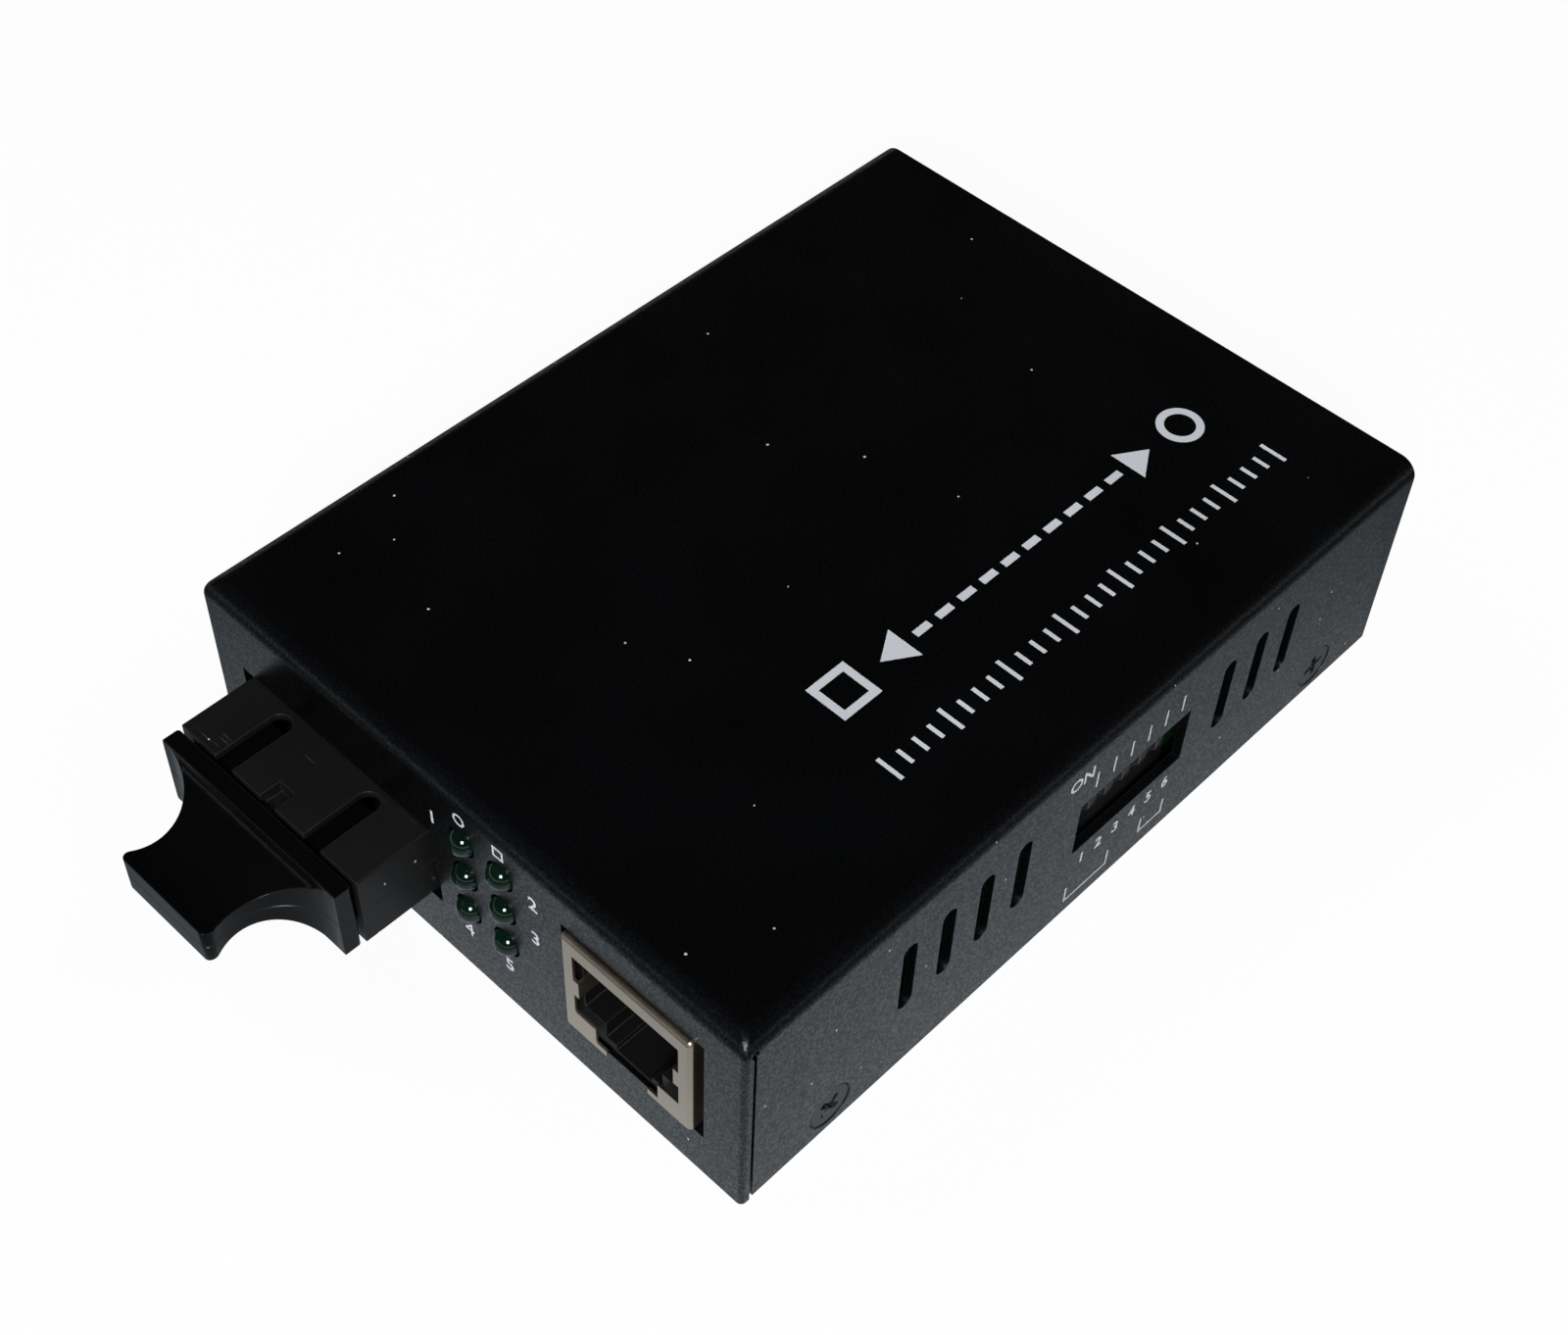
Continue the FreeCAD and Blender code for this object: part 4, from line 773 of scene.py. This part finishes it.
def add_ring(form, u, v, radius, width, sides=48):
    """A ring, or with four sides a square frame."""
    first = math.pi / sides
    grow = 1 / math.cos(first) if sides == 4 else 1.0
    angles = [first + 2 * math.pi * i / sides for i in range(sides)]
    loops = [[(u + r * grow * math.cos(angle), v + r * grow * math.sin(angle)) for angle in angles]
             for r in (radius, radius - width)]
    add_skin(form, *loops)


def add_text(form, text, u, v, height):
    """Figures of a plain font as thin solids, centred on a point."""
    letters = bpy.data.curves.new("letters", "FONT")
    letters.body = text
    letters.size = height * LETTER_SIZE
    letters.extrude = INK / 2
    letters.offset = LETTER_WEIGHT
    letters.resolution_u = 6
    letters.align_x = "CENTER"
    letters.align_y = "CENTER"
    holder = add_object("letters", letters)
    evaluated = holder.evaluated_get(bpy.context.evaluated_depsgraph_get())
    mesh = bpy.data.meshes.new_from_object(evaluated)
    mesh.transform(Matrix.Translation((u, v, INK / 2)))
    form.from_mesh(mesh)
    bpy.data.objects.remove(holder)
    bpy.data.meshes.remove(mesh)


def print_marks(name, form, face):
    """Lays finished marks on a face of the box."""
    bmesh.ops.remove_doubles(form, verts=form.verts, dist=0.0005)
    bmesh.ops.recalc_face_normals(form, faces=form.faces)
    mesh = bpy.data.meshes.new(name)
    form.to_mesh(mesh)
    form.free()
    mesh.transform(sheet_matrix(face))
    mesh.materials.append(finishes["white_ink"])
    add_piece(name, mesh)
    print(name, "on the", face, len(mesh.polygons), "faces")


print("ink helpers ready")

# %% A geometry tree for rows of ticks
tick_tree, given, result = start_tree(
    "tick_row", [("Count", "Int"), ("Step", "Float"), ("Width", "Float"), ("Length", "Float"),
                 ("Longer", "Float"), ("Every", "Int"), ("Ink", "Material")])
stride = put(tick_tree, "ShaderNodeCombineXYZ", {"X": given["Step"]})
line = put(tick_tree, "GeometryNodeMeshLine",
           {"Count": given["Count"], "Offset": stride.outputs[0]})
size = put(tick_tree, "ShaderNodeCombineXYZ",
           {"X": given["Width"], "Y": given["Length"], "Z": INK})
tick = put(tick_tree, "GeometryNodeMeshCube", {"Size": size.outputs[0]})
index = put(tick_tree, "GeometryNodeInputIndex")
rest_of = put(tick_tree, "FunctionNodeIntegerMath", {0: index.outputs[0], 1: given["Every"]},
              operation="MODULO")
is_long = calculate(tick_tree, "LESS_THAN", rest_of.outputs[0], 0.5)
extra = calculate(tick_tree, "SUBTRACT", given["Longer"], 1.0)
stretch = calculate(tick_tree, "MULTIPLY_ADD", is_long, extra, 1.0)
scale = put(tick_tree, "ShaderNodeCombineXYZ", {"X": 1.0, "Y": stretch, "Z": 1.0})
foot = put(tick_tree, "GeometryNodeTransform",
           {"Geometry": tick.outputs["Mesh"], "Translation": (0, 0, INK / 2)})
row = put(tick_tree, "GeometryNodeInstanceOnPoints",
          {"Points": line.outputs[0], "Instance": foot.outputs[0], "Scale": scale.outputs[0]})
real = put(tick_tree, "GeometryNodeRealizeInstances", {"Geometry": row.outputs[0]})
inked = put(tick_tree, "GeometryNodeSetMaterial",
            {"Geometry": real.outputs[0], "Material": given["Ink"]})
tick_tree.links.new(inked.outputs[0], result[0])


def print_ticks(name, face, u, v, count, step, width, length, longer=1.0, every=1):
    """A row of ticks that starts at u, v on a face."""
    mesh = bpy.data.meshes.new(name)
    mesh.from_pydata([(0, 0, 0)], [], [])
    piece = add_object(name, mesh)
    run_tree(piece, tick_tree, {
        "Count": count, "Step": step, "Width": width, "Length": length, "Longer": longer,
        "Every": every, "Ink": finishes["white_ink"]})
    piece.data.transform(sheet_matrix(face) @ Matrix.Translation((u, v, 0)))
    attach(piece, "converter")
    print(name, "on the", face, count, "ticks")


print("tree:", tick_tree.name)

# %% Marks on the lid
LID_ROW = -15.55               # the line on which the symbols and the double arrow lie

marks = bmesh.new()
add_ring(marks, -14.4, LID_ROW, 2.45, 0.85, sides=4)
add_ring(marks, 34.5, LID_ROW, 2.45, 0.85)
add_skin(marks, [(-9.6, LID_ROW), (-6.2, -17.7), (-6.2, -13.4)])
add_skin(marks, [(29.6, LID_ROW), (26.2, -13.4), (26.2, -17.7)])
print_marks("lid_symbols", marks, "lid")
print_ticks("lid_dashes", "lid", -3.9, LID_ROW, 10, 3.1, 2.0, 0.85)
print_ticks("lid_scale", "lid", -18.0, -24.4, 29, 2.0, 0.45, 1.9, longer=1.6, every=4)

# %% Marks on the front
LAMP_PITCH = 5.08              # between the two columns of lamps

lamp_low, lamp_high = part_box("lamp_1")
column = (lamp_low.x + lamp_high.x) / 2 / MM
marks = bmesh.new()
add_ring(marks, column, 23.2, 0.75, 0.24, sides=32)
add_ring(marks, column + LAMP_PITCH, 23.25, 0.70, 0.24, sides=4)
for text, u, v in (("1", column - 3.9, 19.9), ("2", column + 9.3, 19.9), ("3", column + 9.3, 14.7),
                   ("4", column - 0.3, 6.2), ("5", column + 5.2, 6.2)):
    add_text(marks, text, u, v, 1.8)
print_marks("front_numbers", marks, "front")

# %% Marks on the right side
WAYS = 6
WAY_PITCH = 2.54
LINE = 0.22                    # width of a printed line

ways = [sum(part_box(f"switch_slider_{number}"), Vector()) / 2 / MM for number in range(1, WAYS + 1)]
middle = sum(way.y for way in ways) / WAYS
marks = bmesh.new()
for number, u in enumerate(sorted(round(way.y, 3) for way in ways), 1):
    add_text(marks, str(number), u, 7.9, 1.5)
add_text(marks, "ON", middle - 8.8, 21.9, 1.6)
add_bracket(marks, -3.4, 3.1, 2.2, 4.4, LINE)
add_bracket(marks, 7.9, 11.6, 2.6, 4.8, LINE)
print_marks("side_numbers", marks, "side")
first_tick = middle - (WAYS - 1) / 2 * WAY_PITCH
print_ticks("side_ticks", "side", first_tick, 19.9, WAYS, WAY_PITCH, LINE, 2.2)
